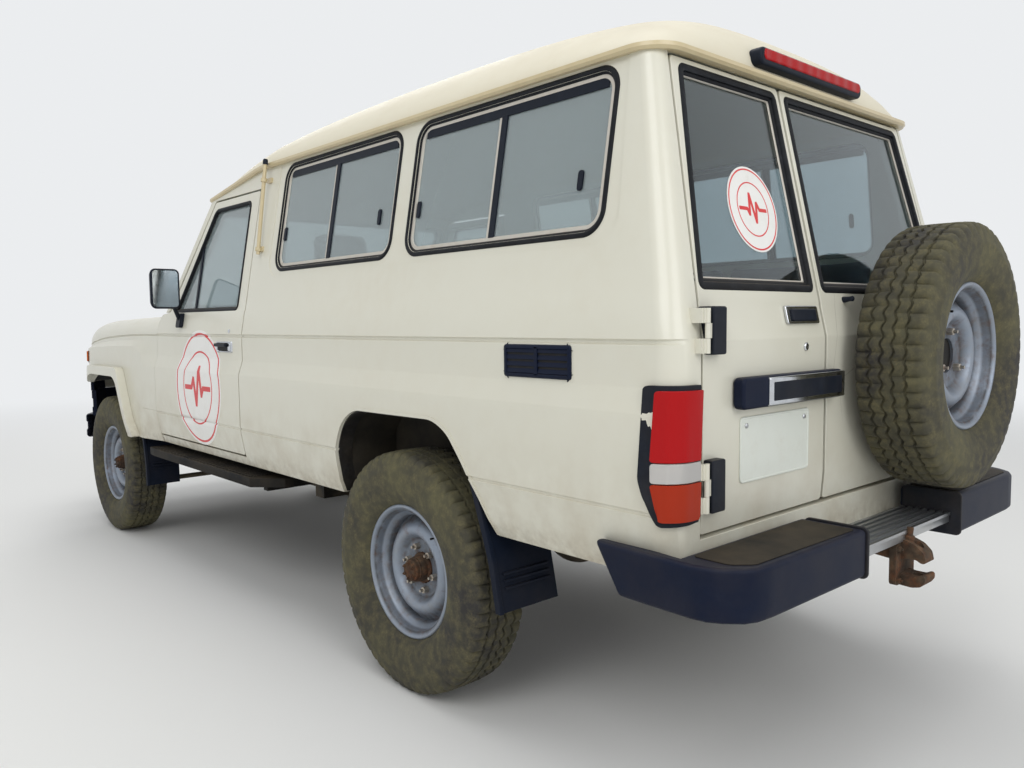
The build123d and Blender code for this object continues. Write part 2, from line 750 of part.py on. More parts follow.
# Leaf springs, two on each axle, from hanger to shackle
spring_half = 540
leaf_wide = 64
eye_radius = 24
spring_rows = (
    # axle's y, radius of its tube, underside of the rail over it
    (front_axle_y, front_tube, rail_front_z - rail_deep),
    (rear_axle_y, rear_tube, rail_rear_z - rail_deep),
)
with BuildPart() as leaf_springs:
    for y, tube, rail_low in spring_rows:
        eye_z = rail_low - eye_radius - seat_gap
        pad = axle_z + tube + seat_gap
        for x in (rail_x, -rail_x):
            leaf = ((y - spring_half, eye_z - 7), (y - 80, pad), (y + 80, pad), (y + spring_half, eye_z - 7),
                    (y + spring_half, eye_z + 7), (y + 80, pad + 38), (y - 80, pad + 38),
                    (y - spring_half, eye_z + 7))
            along_x(leaf, x - leaf_wide / 2, x + leaf_wide / 2)
            for end in (-1, 1):
                rod((x - leaf_wide / 2, y + end * spring_half, eye_z),
                    (x + leaf_wide / 2, y + end * spring_half, eye_z), eye_radius)
finish(leaf_springs, "leaf_springs")

# Engine, gearbox and shafts
engine_rear_y = front_axle_y + 560
engine_half = 190
engine_low_z = sill_z - 40
with BuildPart() as engine:
    block(-engine_half, engine_half, front_axle_y - 330, engine_rear_y, engine_low_z, engine_low_z + 450)
    block(-140, 140, front_axle_y + 150, engine_rear_y, engine_low_z - 90, engine_low_z)
finish(engine, "engine")

gearbox_rear_y = front_axle_y + 1320
transfer_y = engine_rear_y + 440
shaft_z = sill_z - 35
transfer_half = 190
with BuildPart() as gearbox:
    rod((0, engine_rear_y + seat_gap, sill_z), (0, bulkhead_y - 20, sill_z), 140)
    rod((0, bulkhead_y - 40, shaft_z), (0, gearbox_rear_y, shaft_z), 88)
    block(-transfer_half - 40, transfer_half, transfer_y, gearbox_rear_y - 30, gearbox_low_z, sill_z + 40)
finish(gearbox, "gearbox")

with BuildPart() as propshafts:
    for start, end, radius in (
        ((0, gearbox_rear_y, shaft_z), (0, rear_axle_y - diff_nose, axle_z), 34),
        ((front_diff_x, front_axle_y + diff_nose, axle_z), (transfer_half - 40, transfer_y, shaft_z - 35), 28),
    ):
        flange = Vector(0, 30, 0)
        first = Vector(*start) + Vector(0, seat_gap, 0)
        last = Vector(*end) - Vector(0, seat_gap, 0)
        rod(tuple(first), tuple(first + flange), 42)
        rod(tuple(last - flange), tuple(last), 42)
        rod(tuple(first + flange * 0.6), tuple(last - flange * 0.6), radius)
finish(propshafts, "propshafts")

with BuildPart() as exhaust:
    pipe = 26
    exhaust_x = -300
    port_y = engine_rear_y - 60
    port_z = sill_z + 20
    route = (
        # y, z of the pipe's middle
        (port_y, port_z),
        (port_y + 140, sill_z - 240),
        (front_axle_y + 1900, sill_z - 240),
        (rear_axle_y - 420, axle_z + 4),
        (rear_axle_y - 240, axle_z + 104),
        (rear_face_y - 60, axle_z + 104),
    )
    for (y0, z0), (y1, z1) in zip(route, route[1:]):
        rod((exhaust_x, y0, z0), (exhaust_x, y1, z1), pipe)
        with Locations((exhaust_x, y1, z1)):
            Sphere(pipe)
    rod((exhaust_x, front_axle_y + 1500, sill_z - 240), (exhaust_x, front_axle_y + 1900, sill_z - 240), 56)
    rod((-engine_half - seat_gap, port_y, port_z), (exhaust_x - 10, port_y, port_z), pipe)
finish(exhaust, "exhaust")

with BuildPart() as fuel_tank:
    block(-250, 340, rear_axle_y + 420, rear_face_y - 190, sill_z - 160, floor_under - seat_gap)
    fillet(fuel_tank.edges().filter_by(Axis.X), 45)
finish(fuel_tank, "fuel_tank")

# Glass
panes = []
for side in (1, -1):
    for index in range(2):
        with BuildPart() as pane:
            along_y(side_strip(side, glass_inset, glass_inset + glass_thick), door_rear_y, rear_face_y)
            along_x(side_window(index, -seat_gap), *across(side * cut_in_x, side * outside), Mode.INTERSECT, 55)
        panes.append(pane.part)

with BuildPart() as windscreen:
    low = screen_low - 100
    high = screen_high + 100
    glass_line = ((pillar_y(low) + glass_inset, low), (pillar_y(high) + glass_inset, high),
                  (pillar_y(high) + glass_inset + 6, high), (pillar_y(low) + glass_inset + 6, low))
    along_x(glass_line, -outside, outside)
    along_y(windscreen_shape(seat_gap), bulkhead_y - 300, door_rear_y, Mode.INTERSECT, 50)

with BuildPart() as fixed_glass:
    add(panes)
    add(windscreen.part)
finish(fixed_glass, "fixed_glass")

# Front doors with their glass and mirrors
for side, word in sides:
    span = across(side * cut_in_x, side * outside)
    with BuildPart() as door_inner:
        along_y(side_strip(side, 20, wall), door_front_y - 50, door_rear_y + 50)
        along_x(door_outline(4, 24, 10), *span, Mode.INTERSECT)

    with BuildPart() as front_door:
        along_y(side_strip(side, 0, 20), door_front_y - 50, door_rear_y + 50)
        along_x(door_outline(0, 0, 0), *span, Mode.INTERSECT)
        add(door_inner.part)
        along_x(front_window(0), *span, Mode.SUBTRACT, 22)
        block(side * (latch_x + striker_radius + seat_gap), side * (latch_x - 60),
              door_rear_y - latch_reach - 8, door_rear_y + 1,
              latch_z - striker_radius - 5, latch_z + striker_radius + 5, Mode.SUBTRACT)
    finish(front_door, f"front_door_{word}")

    with BuildPart() as door_glass:
        along_y(side_strip(side, glass_inset, glass_inset + glass_thick), door_front_y, door_rear_y)
        along_x(front_window(-seat_gap), *span, Mode.INTERSECT, 22)
    finish(door_glass, f"door_glass_{word}")

    mirror_y = door_front_y + 388
    with BuildPart() as mirror:
        foot_x = skin_x(belt_z + 40) + seat_gap
        block(side * foot_x, side * (foot_x + 22), mirror_y - 85, mirror_y - 45, belt_z + 40, belt_z + 100)
        arm_x = body_half_width + 25
        rod((side * (foot_x + 12), mirror_y - 65, belt_z + 80), (side * arm_x, mirror_y, belt_z + 180), 11)
        rod((side * arm_x, mirror_y, belt_z + 175), (side * arm_x, mirror_y, belt_z + 290), 9)
        with Locations((side * (arm_x + 47), mirror_y, belt_z + 220)):
            Box(140, 42, 195)
        fillet(mirror.edges().filter_by(Axis.Y).group_by(Axis.Z)[-1], 30)
    finish(mirror, f"mirror_{word}")

# Rear doors
door_split_gap = 12
door_rows = (
    # name, hinge side edge and split side edge at the belt, side of the hinge
    ("rear_door_left", rear_door_half - 4, rear_split_x + door_split_gap / 2, 1),
    ("rear_door_right", -(rear_door_half - 4), rear_split_x - door_split_gap / 2, -1),
)


def rear_door_shape(hinge_x0, split_x, side, inset):
    """A rear door seen from behind."""
    top = rear_door_top_z - inset
    lean = lean_in * (top - belt_z)
    edge = hinge_x0 - side * inset
    split = split_x + side * inset * 2.4
    bottom = rear_door_bottom_z + inset
    return ((edge, bottom), (edge, belt_z), (edge - side * lean, top), (split, top), (split, bottom))


def rear_window(hinge_x0, split_x, side, grow):
    """Glass opening of a rear door."""
    low = rear_window_bottom_z - grow
    high = rear_window_top_z + grow
    outer_low = hinge_x0 - side * (16 - grow + lean_in * (low - belt_z))
    outer_high = hinge_x0 - side * (38 - grow + lean_in * (high - belt_z))
    inner = split_x + side * (26 - grow)
    return (outer_low, low), (outer_high, high), (inner, high), (inner, low)


spare_x = tyre_radius - hinge_pin_x + 6
bumper_low = sill_z - 44
bumper_high = sill_z + 78
spare_z = bumper_high + tyre_radius + 15
spare_y = rear_end_y - tyre_width / 2
for name, hinge_edge, split_edge, side in door_rows:
    shape = (hinge_edge, split_edge, side)
    y_span = (rear_face_y - 500, rear_face_y + 50)
    with BuildPart() as rear_inner:
        along_x(rear_strip(skin_flange, wall), -outside, outside)
        along_y(rear_door_shape(*shape, 12), *y_span, Mode.INTERSECT)

    with BuildPart() as rear_door:
        along_x(rear_strip(0, skin_flange), -outside, outside)
        along_y(rear_door_shape(*shape, 0), *y_span, Mode.INTERSECT)
        add(rear_inner.part)
        along_y(rear_window(*shape, 0), *y_span, Mode.SUBTRACT, 14)
        hinge_leaves(side, hinge_pin_x - 66, 1)
    finish(rear_door, name)

    with BuildPart() as rear_glass:
        along_x(rear_strip(glass_inset, glass_inset + glass_thick), -outside, outside)
        along_y(rear_window(*shape, -seat_gap), *y_span, Mode.INTERSECT, 14)
    finish(rear_glass, name.replace("door", "glass"))

# Spare wheel bracket on the right door
with BuildPart() as spare_carrier:
    plate_y = rear_face_y + seat_gap
    wheel_seat_y = spare_y + dish_place - dish_thick - seat_gap
    block(spare_x - 95, spare_x + 95, plate_y, plate_y + 12, spare_z - 190, spare_z + 60)
    rod((spare_x, plate_y, spare_z), (spare_x, wheel_seat_y, spare_z), 48)
    rod((spare_x, wheel_seat_y - 10, spare_z), (spare_x, wheel_seat_y, spare_z), 90)
finish(spare_carrier, "spare_carrier")

# Wheel profile in radius and place along the axle, measured outwards from the wheel's middle
rim_half = rim_width / 2
rim_profile = (
    (rim_flange_radius, rim_half),
    (rim_flange_radius, rim_half - 7),
    (bead_radius, rim_half - 12),
    (bead_radius, rim_half - 36),
    (bead_radius - 18, rim_half - 48),
    (bead_radius - 18, -rim_half + 40),
    (bead_radius, -rim_half + 32),
    (bead_radius, -rim_half + 12),
    (rim_flange_radius, -rim_half + 7),
    (rim_flange_radius, -rim_half),
    (rim_flange_radius - 10, -rim_half),
    (bead_radius - 8, -rim_half + 12),
    (bead_radius - 26, -rim_half + 46),
    (bead_radius - 26, dish_place - 14),
    (bead_radius - 60, dish_place + 14),
    (120, dish_place + 22),
    (95, dish_place - dish_thick),
    (hub_radius, dish_place - dish_thick),
    (hub_radius, dish_place),
    (92, dish_place),
    (116, dish_place + 30),
    (bead_radius - 58, dish_place + 22),
    (bead_radius - 26, dish_place - 2),
    (bead_radius - 26, rim_half - 54),
    (bead_radius - 8, rim_half - 40),
    (bead_radius - 8, rim_half - 14),
    (rim_flange_radius - 9, rim_half),
)
tyre_half = tyre_width / 2
tyre_profile = (
    (bead_radius + seat_gap, rim_half - 13),
    (bead_radius + 20, rim_half - 12),
    (bead_radius + 40, tyre_half - 12),
    (tyre_radius - 95, tyre_half),
    (tyre_radius - 40, tyre_half - 8),
    (tyre_radius - 6, tyre_half - 26),
    (tyre_radius, tyre_half - 45),
    (tyre_radius, -tyre_half + 45),
    (tyre_radius - 6, -tyre_half + 26),
    (tyre_radius - 40, -tyre_half + 8),
    (tyre_radius - 95, -tyre_half),
    (bead_radius + 40, -tyre_half + 12),
    (bead_radius + 20, -rim_half + 12),
    (bead_radius + seat_gap, -rim_half + 13),
    (bead_radius + seat_gap, -rim_half + 33),
    (bead_radius + 22, -rim_half + 28),
    (bead_radius + 45, -tyre_half + 22),
    (tyre_radius - 90, -tyre_half + 12),
    (tyre_radius - 30, -tyre_half + 22),
    (tyre_radius - 22, 0),
    (tyre_radius - 30, tyre_half - 22),
    (tyre_radius - 90, tyre_half - 12),
    (bead_radius + 45, tyre_half - 22),
    (bead_radius + 22, rim_half - 28),
    (bead_radius + seat_gap, rim_half - 37),
)

def ring_about(plane, profile, mode=Mode.ADD):
    """Turn a profile of radius and place about the plane's own upward axis."""
    with BuildSketch(plane, mode=Mode.PRIVATE) as section:
        with BuildLine():
            Polyline(*profile, close=True)
        make_face()
    revolve(section.sketch, Axis(plane.origin, plane.y_dir), mode=mode)


wheel_rows = (
    # name, middle of the wheel, outward direction, whether it has a hub of its own
    ("front_left", (front_track / 2, front_axle_y, axle_z), (1, 0, 0), True),
    ("front_right", (-front_track / 2, front_axle_y, axle_z), (-1, 0, 0), True),
    ("rear_left", (rear_track / 2, rear_axle_y, axle_z), (1, 0, 0), True),
    ("rear_right", (-rear_track / 2, rear_axle_y, axle_z), (-1, 0, 0), True),
    ("spare", (spare_x, spare_y, spare_z), (0, 1, 0), False),
)
for name, middle, outward, has_hub in wheel_rows:
    radial = Vector(0, 0, 1)
    plane = Plane(origin=middle, x_dir=radial, z_dir=radial.cross(Vector(*outward)))
    face_plane = Plane(origin=middle, z_dir=outward)
    with BuildPart() as rim:
        ring_about(plane, rim_profile)
        if has_hub:
            with BuildSketch(face_plane.offset(-hub_inner)):
                Circle(hub_radius)
            extrude(amount=hub_inner + dish_place + 30)
            with BuildSketch(face_plane.offset(dish_place + 30)):
                Circle(40)
            extrude(amount=32)
    finish(rim, f"rim_{name}")

    with BuildPart() as tyre:
        ring_about(plane, tyre_profile)
    finish(tyre, f"tyre_{name}")

# Knuckles, steering arms and the tie rod behind the front axle
arm_z = axle_z - 66
pin_radius = 9
pin_clearance = 0.1
arm_half = 17
ball_y = front_axle_y + steering_arm_y
for side, word in sides:
    with BuildPart() as knuckle:
        with Locations((side * kingpin_x, front_axle_y, axle_z)):
            Cylinder(60, 44, rotation=(0, 90, 0))
            Cylinder(26, 2 * kingpin_half)
        rod((side * kingpin_x, front_axle_y, axle_z),
            (side * (front_track / 2 - hub_inner - seat_gap), front_axle_y, axle_z), 38)
        block(side * (kingpin_x - arm_half), side * (kingpin_x + arm_half), front_axle_y + 10,
              ball_y + arm_half, arm_z - 12, arm_z + 12)
        with Locations((side * kingpin_x, ball_y, arm_z)):
            Cylinder(pin_radius + pin_clearance, 60, mode=Mode.SUBTRACT)
    finish(knuckle, f"knuckle_{word}")

with BuildPart() as tie_rod:
    rod_z = arm_z - 34
    rod((-kingpin_x, ball_y, rod_z), (kingpin_x, ball_y, rod_z), 14)
    for side in (1, -1):
        rod((side * kingpin_x, ball_y, rod_z), (side * kingpin_x, ball_y, arm_z + 10), pin_radius)
finish(tie_rod, "tie_rod")

# Rear bumper in two corner pieces, with a step and a towing hook between them
bumper_rear_y = rear_face_y + 190
step_half = 300
step_z = sill_z - 10
with BuildPart() as rear_bumper:
    for side in (1, -1):
        plan = (
            (side * (body_half_width + 18), rear_face_y - 260),
            (side * (body_half_width + 28), rear_face_y + 110),
            (side * (body_half_width - 40), bumper_rear_y),
            (side * step_half, bumper_rear_y + 12),
            (side * step_half, rear_face_y + 22),
            (side * (skin_x(bumper_high) + 2), rear_face_y + 22),
            (side * (skin_x(bumper_high) + 2), rear_face_y - 260),
        )
        along_z(plan, bumper_low, bumper_high)
        block(side * (rail_x - 25), side * (rail_x + 25), rail_end_y + seat_gap, rear_face_y + 24,
              sill_z - 55, sill_z - 4)
finish(rear_bumper, "rear_bumper")

with BuildPart() as rear_step:
    block(-step_half + 6, step_half - 6, rear_face_y + 30, rear_face_y + 175, step_z, step_z + 22)
    for y in range(36, 170, 22):
        block(-step_half + 6, step_half - 6, rear_face_y + y, rear_face_y + y + 10, step_z + 21, step_z + 30)
    for side in (1, -1):
        block(side * 230, side * 270, rail_end_y - 10, rear_face_y + 60, step_z - 30, step_z + 1)
        block(side * 230, side * (rail_in_x - seat_gap), rail_end_y - 10, rail_end_y - 2,
              step_z - 30, step_z + 1)
finish(rear_step, "rear_step")

hook_z = sill_z - 80
hook_bore = 13
jaw_y = rear_face_y + 152
with BuildPart() as tow_hook:
    rod((0, tail_tube_y + tube_radius + seat_gap, tail_tube_z), (0, jaw_y + 4, hook_z + 20), 20)
    block(-60, 60, jaw_y, jaw_y + 18, hook_z - 50, hook_z + 66)
    for low, high in ((hook_z + 20, hook_z + 48), (hook_z - 48, hook_z - 20)):
        block(-36, 36, jaw_y + 10, jaw_y + 84, low, high)
    with Locations((0, jaw_y + 54, hook_z)):
        Cylinder(hook_bore, 160, mode=Mode.SUBTRACT)
finish(tow_hook, "tow_hook")

# Lamps at the back
lamp_in_x = hinge_pin_x + 16
lamp_face_y = rear_face_y + 22
high_lamp_half = 290
high_lamp_deep = 34
high_lamp_tall = 48
high_lamp_z = gutter_z + 26
with BuildPart() as rear_lamps:
    for side in (1, -1):
        block(side * lamp_in_x, side * (body_half_width + 4), rear_face_y + seat_gap, lamp_face_y,
              belt_z - 418, belt_z - 98)
        block(side * (body_half_width + seat_gap), side * (body_half_width + 16), rear_face_y - wall - 2,
              lamp_face_y, groove_z + 2, wide_z - 4)
    block(-high_lamp_half, high_lamp_half, roof_rear_y + seat_gap, roof_rear_y + high_lamp_deep,
          high_lamp_z, high_lamp_z + high_lamp_tall)
finish(rear_lamps, "rear_lamps")

# Running boards, mud flaps
board_x = body_half_width + 3
board_in_x = mount_x + 100
board_z = sill_z - 80
with BuildPart() as running_boards:
    for side in (1, -1):
        board = (
            (side * (board_x - 8), door_front_y - 137),
            (side * board_x, door_front_y - 57),
            (side * board_x, door_rear_y + 85),
            (side * (board_in_x + 40), door_rear_y + 195),
            (side * board_in_x, door_rear_y + 195),
            (side * board_in_x, door_front_y - 137),
        )
        along_z(board, board_z, board_z + 40)
        for y in (door_front_y + 163, door_front_y + 563, door_rear_y - 35):
            block(side * (rail_out_x + seat_gap), side * (board_in_x + 20),
                  y - 20, y + 20, board_z - 50, board_z + 6)
finish(running_boards, "running_boards")

flap_low_z = axle_z - 96
flap_x = inner_sill_x - 147
with BuildPart() as mud_flaps:
    for side in (1, -1):
        front_flap = [(front_axle_y + tyre_radius + y, z) for y, z in
                      ((-12, sill_z + 100), (0, sill_z + 100), (88, sill_z), (120, flap_low_z),
                       (108, flap_low_z), (76, sill_z))]
        along_x(front_flap, *across(side * (wing_top_x - 50), side * (skin_x(sill_z) - wing_wall - seat_gap)))
        flap_y = rear_axle_y + tyre_radius + 88
        rear_flap = ((flap_y, sill_z - 4), (flap_y + 12, sill_z - 4), (flap_y + 52, flap_low_z),
                     (flap_y + 40, flap_low_z))
        along_x(rear_flap, *across(side * flap_x, side * (body_half_width - 13)))
        block(side * flap_x, side * (inner_sill_x - seat_gap), flap_y, flap_y + 12,
              sill_z - 5, flap_top_z - seat_gap)
finish(mud_flaps, "mud_flaps")

# Inside: dashboard, wheel, seats, benches
with BuildPart() as dashboard:
    dash_y = bulkhead_y + 30 + seat_gap
    ring_back = pillar_y(cowl_z - 90) + pillar_depth
    dash = ((dash_y, belt_z - 176), (dash_y, belt_z - 21), (ring_back + 10, belt_z + 8),
            (ring_back + 120, belt_z + 48), (dash_y + 340, belt_z + 30), (dash_y + 345, belt_z - 52),
            (dash_y + 180, belt_z - 156))
    along_x(dash, -wing_top_x, wing_top_x)
finish(dashboard, "dashboard")

wheel_plane = Plane(origin=(340, bulkhead_y + 470, belt_z - 6), z_dir=(0, 0.75, 0.66))
with BuildPart() as steering_wheel:
    with BuildSketch(wheel_plane):
        Circle(195)
        Circle(168, mode=Mode.SUBTRACT)
    extrude(amount=14, both=True)
    with BuildSketch(wheel_plane):
        Circle(52)
        with PolarLocations(110, 3, start_angle=90):
            Rectangle(130, 26)
    extrude(amount=9, both=True)
    centre = wheel_plane.origin
    foot_y = bulkhead_y + 30 + seat_gap
    reach = (centre.Y - foot_y - 16) / wheel_plane.z_dir.Y
    foot = centre - wheel_plane.z_dir * reach
    rod(centre, tuple(foot), 22)
    block(foot.X - 40, foot.X + 40, foot_y, foot_y + 34, foot.Z - 36, foot.Z + 50)
finish(steering_wheel, "steering_wheel")

seat_y = door_front_y + 470
seat_top_z = floor_z + 215
seat_in = 110
seat_out = body_half_width - 233
seat_x = (seat_in + seat_out) / 2
with BuildPart() as front_seats:
    for x in (seat_x, -seat_x):
        half = (seat_out - seat_in) / 2
        along_x(((seat_y, seat_top_z - 105), (seat_y - 10, seat_top_z), (seat_y + 470, seat_top_z - 30),
                 (seat_y + 480, seat_top_z - 125)), x - half, x + half)
        along_x(((seat_y + 440, seat_top_z - 45), (seat_y + 550, seat_top_z + 550),
                 (seat_y + 630, seat_top_z + 540), (seat_y + 560, seat_top_z - 90)), x - half, x + half)
        block(x - half + 50, x + half - 50, seat_y + 40, seat_y + 440, floor_z, seat_top_z - 100)
finish(front_seats, "front_seats")

bench_front = door_rear_y + 160
bench_rear = rear_face_y - 240
bench_out = skin_x(side_window_bottom_z) - wall - 14
bench_z = wheel_box_top + wheel_box_thick + 1
with BuildPart() as bench:
    block(-bench_out, -330, bench_front, bench_rear, bench_z, bench_z + 90)
    block(-bench_out, 75 - bench_out, bench_front, bench_rear, bench_z + 89, side_window_bottom_z - 30)
    block(10 - bench_out, -340, bench_front + 60, bench_front + 110, floor_z, bench_z + 1)
    block(5 - wheel_box_x, -340, bench_rear - 110, bench_rear - 60, floor_z, bench_z + 1)
finish(bench, "bench")

deck_z = floor_z + 285
deck_thick = 75
with BuildPart() as stretcher:
    block(60, wheel_box_x - 20, bench_front + 60, bench_rear, deck_z - deck_thick, deck_z)
    for y in (bench_front + 120, bench_rear - 120):
        for x in (80, wheel_box_x - 60):
            block(x, x + 24, y, y + 24, floor_z, deck_z - deck_thick + 1)
finish(stretcher, "stretcher")
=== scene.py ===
# %% [markdown]
# An ambulance wagon, seen from the rear left. The CAD model is a fixed frame: every body, hinge and wheel
# has its place and size. Each cell below makes the look of one piece or finish of the real vehicle, and
# says what it is, how it could be made, and why it is made this way.

# %% Load the frame
import json
import math
import bmesh
import bpy
from mathutils import Matrix, Vector


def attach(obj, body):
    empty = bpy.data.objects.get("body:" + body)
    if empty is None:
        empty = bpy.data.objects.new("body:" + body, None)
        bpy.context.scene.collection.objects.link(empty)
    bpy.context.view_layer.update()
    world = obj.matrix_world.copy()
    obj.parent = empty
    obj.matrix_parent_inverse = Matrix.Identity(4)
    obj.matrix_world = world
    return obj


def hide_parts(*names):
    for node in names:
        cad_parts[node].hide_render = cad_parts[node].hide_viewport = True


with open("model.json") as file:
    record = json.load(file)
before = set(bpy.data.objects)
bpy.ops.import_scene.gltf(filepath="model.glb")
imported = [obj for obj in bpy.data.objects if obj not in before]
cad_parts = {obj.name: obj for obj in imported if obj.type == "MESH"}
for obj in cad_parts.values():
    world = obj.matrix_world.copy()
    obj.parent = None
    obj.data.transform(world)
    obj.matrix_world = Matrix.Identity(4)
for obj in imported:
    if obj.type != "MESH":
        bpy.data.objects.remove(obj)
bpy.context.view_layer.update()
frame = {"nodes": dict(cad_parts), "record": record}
nodes = frame["nodes"]
BODY = "vehicle"

# %% [markdown]
# The camera comes first, because every comparison with the photograph depends on it. It was worked out
# from points that can be told apart in the picture, such as window corners and wheel centres.

# %% Camera at the photograph's viewing angle
CAMERA_PLACE = Vector((2.3220, 3.4712, 1.2090))
YAW, PITCH, ROLL = -0.7313, -0.0765, -0.0111
SENSOR_MM = 36.0
FOCAL_PIXELS = 828.08
PHOTO_WIDTH = 1024

forward = Vector((math.sin(YAW) * math.cos(PITCH), -math.cos(YAW) * math.cos(PITCH), math.sin(PITCH)))
level_right = forward.cross(Vector((0, 0, 1))).normalized()
level_up = level_right.cross(forward)
right = level_right * math.cos(ROLL) + level_up * math.sin(ROLL)
up = level_up * math.cos(ROLL) - level_right * math.sin(ROLL)
camera_data = bpy.data.cameras.new("camera")
camera_data.sensor_width = SENSOR_MM
camera_data.sensor_fit = "HORIZONTAL"
camera_data.lens = FOCAL_PIXELS * SENSOR_MM / PHOTO_WIDTH
camera_data.clip_end = 200
camera = bpy.data.objects.new("camera", camera_data)
turn = Matrix((right, up, -forward)).transposed().to_4x4()
camera.matrix_world = Matrix.Translation(CAMERA_PLACE) @ turn
bpy.context.collection.objects.link(camera)
bpy.context.scene.camera = camera
print("lens", round(camera_data.lens, 2))

# %% [markdown]
# A studio is a pale floor and surround with a few large soft lamps, whose long reflections show how a
# painted panel is curved. The surround is white only for camera, gloss and glass rays, so it doesn't wash
# out the shadows.

# %% Studio
scene = bpy.context.scene
scene.view_settings.view_transform = "Standard"


def linear(hex_colour):
    """A colour written as sRGB hex, as the linear numbers that shaders use."""
    digits = hex_colour.lstrip("#")
    values = [int(digits[i:i + 2], 16) / 255 for i in (0, 2, 4)]
    return tuple(v / 12.92 if v <= 0.04045 else ((v + 0.055) / 1.055) ** 2.4 for v in values) + (1.0,)


def principled(tree):
    """The shader that a material starts with."""
    return tree.nodes["Principled BSDF"]


def node(tree, kind, links=None, **settings):
    """Add a node with its fields, and with its inputs set or linked."""
    made = tree.nodes.new("ShaderNode" + kind)
    for key, value in settings.items():
        setattr(made, key, value)
    for key, value in (links or {}).items():
        socket = made.inputs[key]
        if isinstance(value, bpy.types.NodeSocket):
            tree.links.new(value, socket)
        else:
            socket.default_value = value
    return made


def as_mesh(shape, name):
    """A mesh made of a bmesh, which is freed."""
    data = bpy.data.meshes.new(name)
    shape.to_mesh(data)
    shape.free()
    return data


def in_scene(name, data):
    """An object of this name in the scene, at the origin."""
    made = bpy.data.objects.new(name, data)
    bpy.context.collection.objects.link(made)
    return made


world = bpy.data.worlds.new("studio")
scene.world = world
world.use_nodes = True
sky = world.node_tree
sky.nodes.clear()
rays = node(sky, "LightPath")
seen = node(sky, "Math", {0: rays.outputs["Is Camera Ray"], 1: rays.outputs["Is Transmission Ray"]},
    operation="MAXIMUM")
surround = node(sky, "Math", {0: seen.outputs[0], 1: rays.outputs["Is Glossy Ray"]}, operation="MAXIMUM")
strength = node(sky, "MapRange", {"Value": surround.outputs[0], "To Min": 0.50, "To Max": 0.92})
glow = node(sky, "Background", {"Color": linear("#F4F6F8"), "Strength": strength.outputs[0]})
node(sky, "OutputWorld", {"Surface": glow.outputs[0]})

LAMPS = (
    # name, place, aim, size, watts
    ("key_lamp", (6.2, 4.2, 6.5), (0, 0.6, 1.0), 5.0, 178),
    ("rear_lamp", (1.5, 8.5, 4.5), (0, 2.0, 1.0), 5.0, 160),
    ("front_lamp", (-4.0, -7.5, 5.5), (0, -1.5, 1.0), 5.0, 200),
    ("top_lamp", (0, 0, 8.0), (0, 0, 0), 7.0, 190),
)
for lamp_name, place, aim, size, watts in LAMPS:
    light = bpy.data.lights.new(lamp_name, "AREA")
    light.shape = "DISK"
    light.size = size
    light.energy = watts
    lamp = in_scene(lamp_name, light)
    lamp.location = place
    lamp.rotation_euler = (Vector(aim) - Vector(place)).to_track_quat("-Z", "Y").to_euler()

floor_paper = bpy.data.materials.new("backdrop_paper")
floor_paper.use_nodes = True
floor_shader = principled(floor_paper.node_tree)
floor_shader.inputs["Base Color"].default_value = linear("#E9E9E7")
floor_shader.inputs["Roughness"].default_value = 0.9
# Far off the paper glows as the surround does, so no line shows where they meet
paper = floor_paper.node_tree
paper_place = node(paper, "TexCoord").outputs["Object"]
paper_reach = node(paper, "VectorMath", {0: paper_place}, operation="LENGTH").outputs["Value"]
paper_far = node(paper, "MapRange", {"Value": paper_reach, "From Min": 3.5, "From Max": 12.0},
    interpolation_type="SMOOTHSTEP").outputs[0]
paper_glow = node(paper, "Emission", {"Color": linear("#F4F6F8"), "Strength": 0.92})
paper_mix = node(paper, "MixShader", {0: paper_far, 1: floor_shader.outputs[0], 2: paper_glow.outputs[0]})
paper.links.new(paper_mix.outputs[0], paper.nodes["Material Output"].inputs["Surface"])
floor_mesh = bmesh.new()
bmesh.ops.create_circle(floor_mesh, cap_ends=True, segments=96, radius=40)
studio_floor = in_scene("studio_floor", as_mesh(floor_mesh, "studio_floor"))
studio_floor.data.materials.append(floor_paper)
print("lamps", len(LAMPS))


# %% [markdown]
# A painted panel, a tyre and a rubber seal differ less in colour than in what lies on them: dust on what
# faces up, mud splashed up from the road, rust where paint wore off, and a fine relief. Each is one small
# recipe here, in millimetres, so patterns keep their scale on every piece.

# %% Recipes for dust, wear and relief
FINISH = {}


def new_finish(name, colour, roughness, **inputs):
    """Start a material, kept under its name, and give its node tree."""
    made = FINISH[name] = bpy.data.materials.new(name)
    made.use_nodes = True
    shader = principled(made.node_tree)
    shader.inputs["Base Color"].default_value = linear(colour)
    shader.inputs["Roughness"].default_value = roughness
    for key, value in inputs.items():
        shader.inputs[key.replace("_", " ")].default_value = value
    return made.node_tree


def patches(tree, size_mm, start, end, detail=5.0):
    """Soft patches of about one size: 0 where the cloud is below start and 1 above end."""
    place = node(tree, "TexCoord").outputs["Object"]
    cloud = node(tree, "TexNoise", {"Vector": place, "Scale": 1000 / size_mm, "Detail": detail, "Roughness": 0.6})
    return node(tree, "MapRange", {"Value": cloud.outputs["Fac"], "From Min": start, "From Max": end}).outputs[0]


def by_height(tree, low, high):
    """1 at the low height, in metres above the road, fading to 0 at the high one."""
    place = node(tree, "TexCoord").outputs["Object"]
    split = node(tree, "SeparateXYZ", {0: place})
    return node(tree, "MapRange", {"Value": split.outputs["Z"], "From Min": high, "From Max": low},
        interpolation_type="SMOOTHSTEP").outputs[0]


def facing_up(tree):
    """1 where the surface faces the sky."""
    way = node(tree, "TexCoord").outputs["Normal"]
    split = node(tree, "SeparateXYZ", {0: way})
    return node(tree, "MapRange", {"Value": split.outputs["Z"], "From Min": 0.55, "From Max": 0.95}).outputs[0]


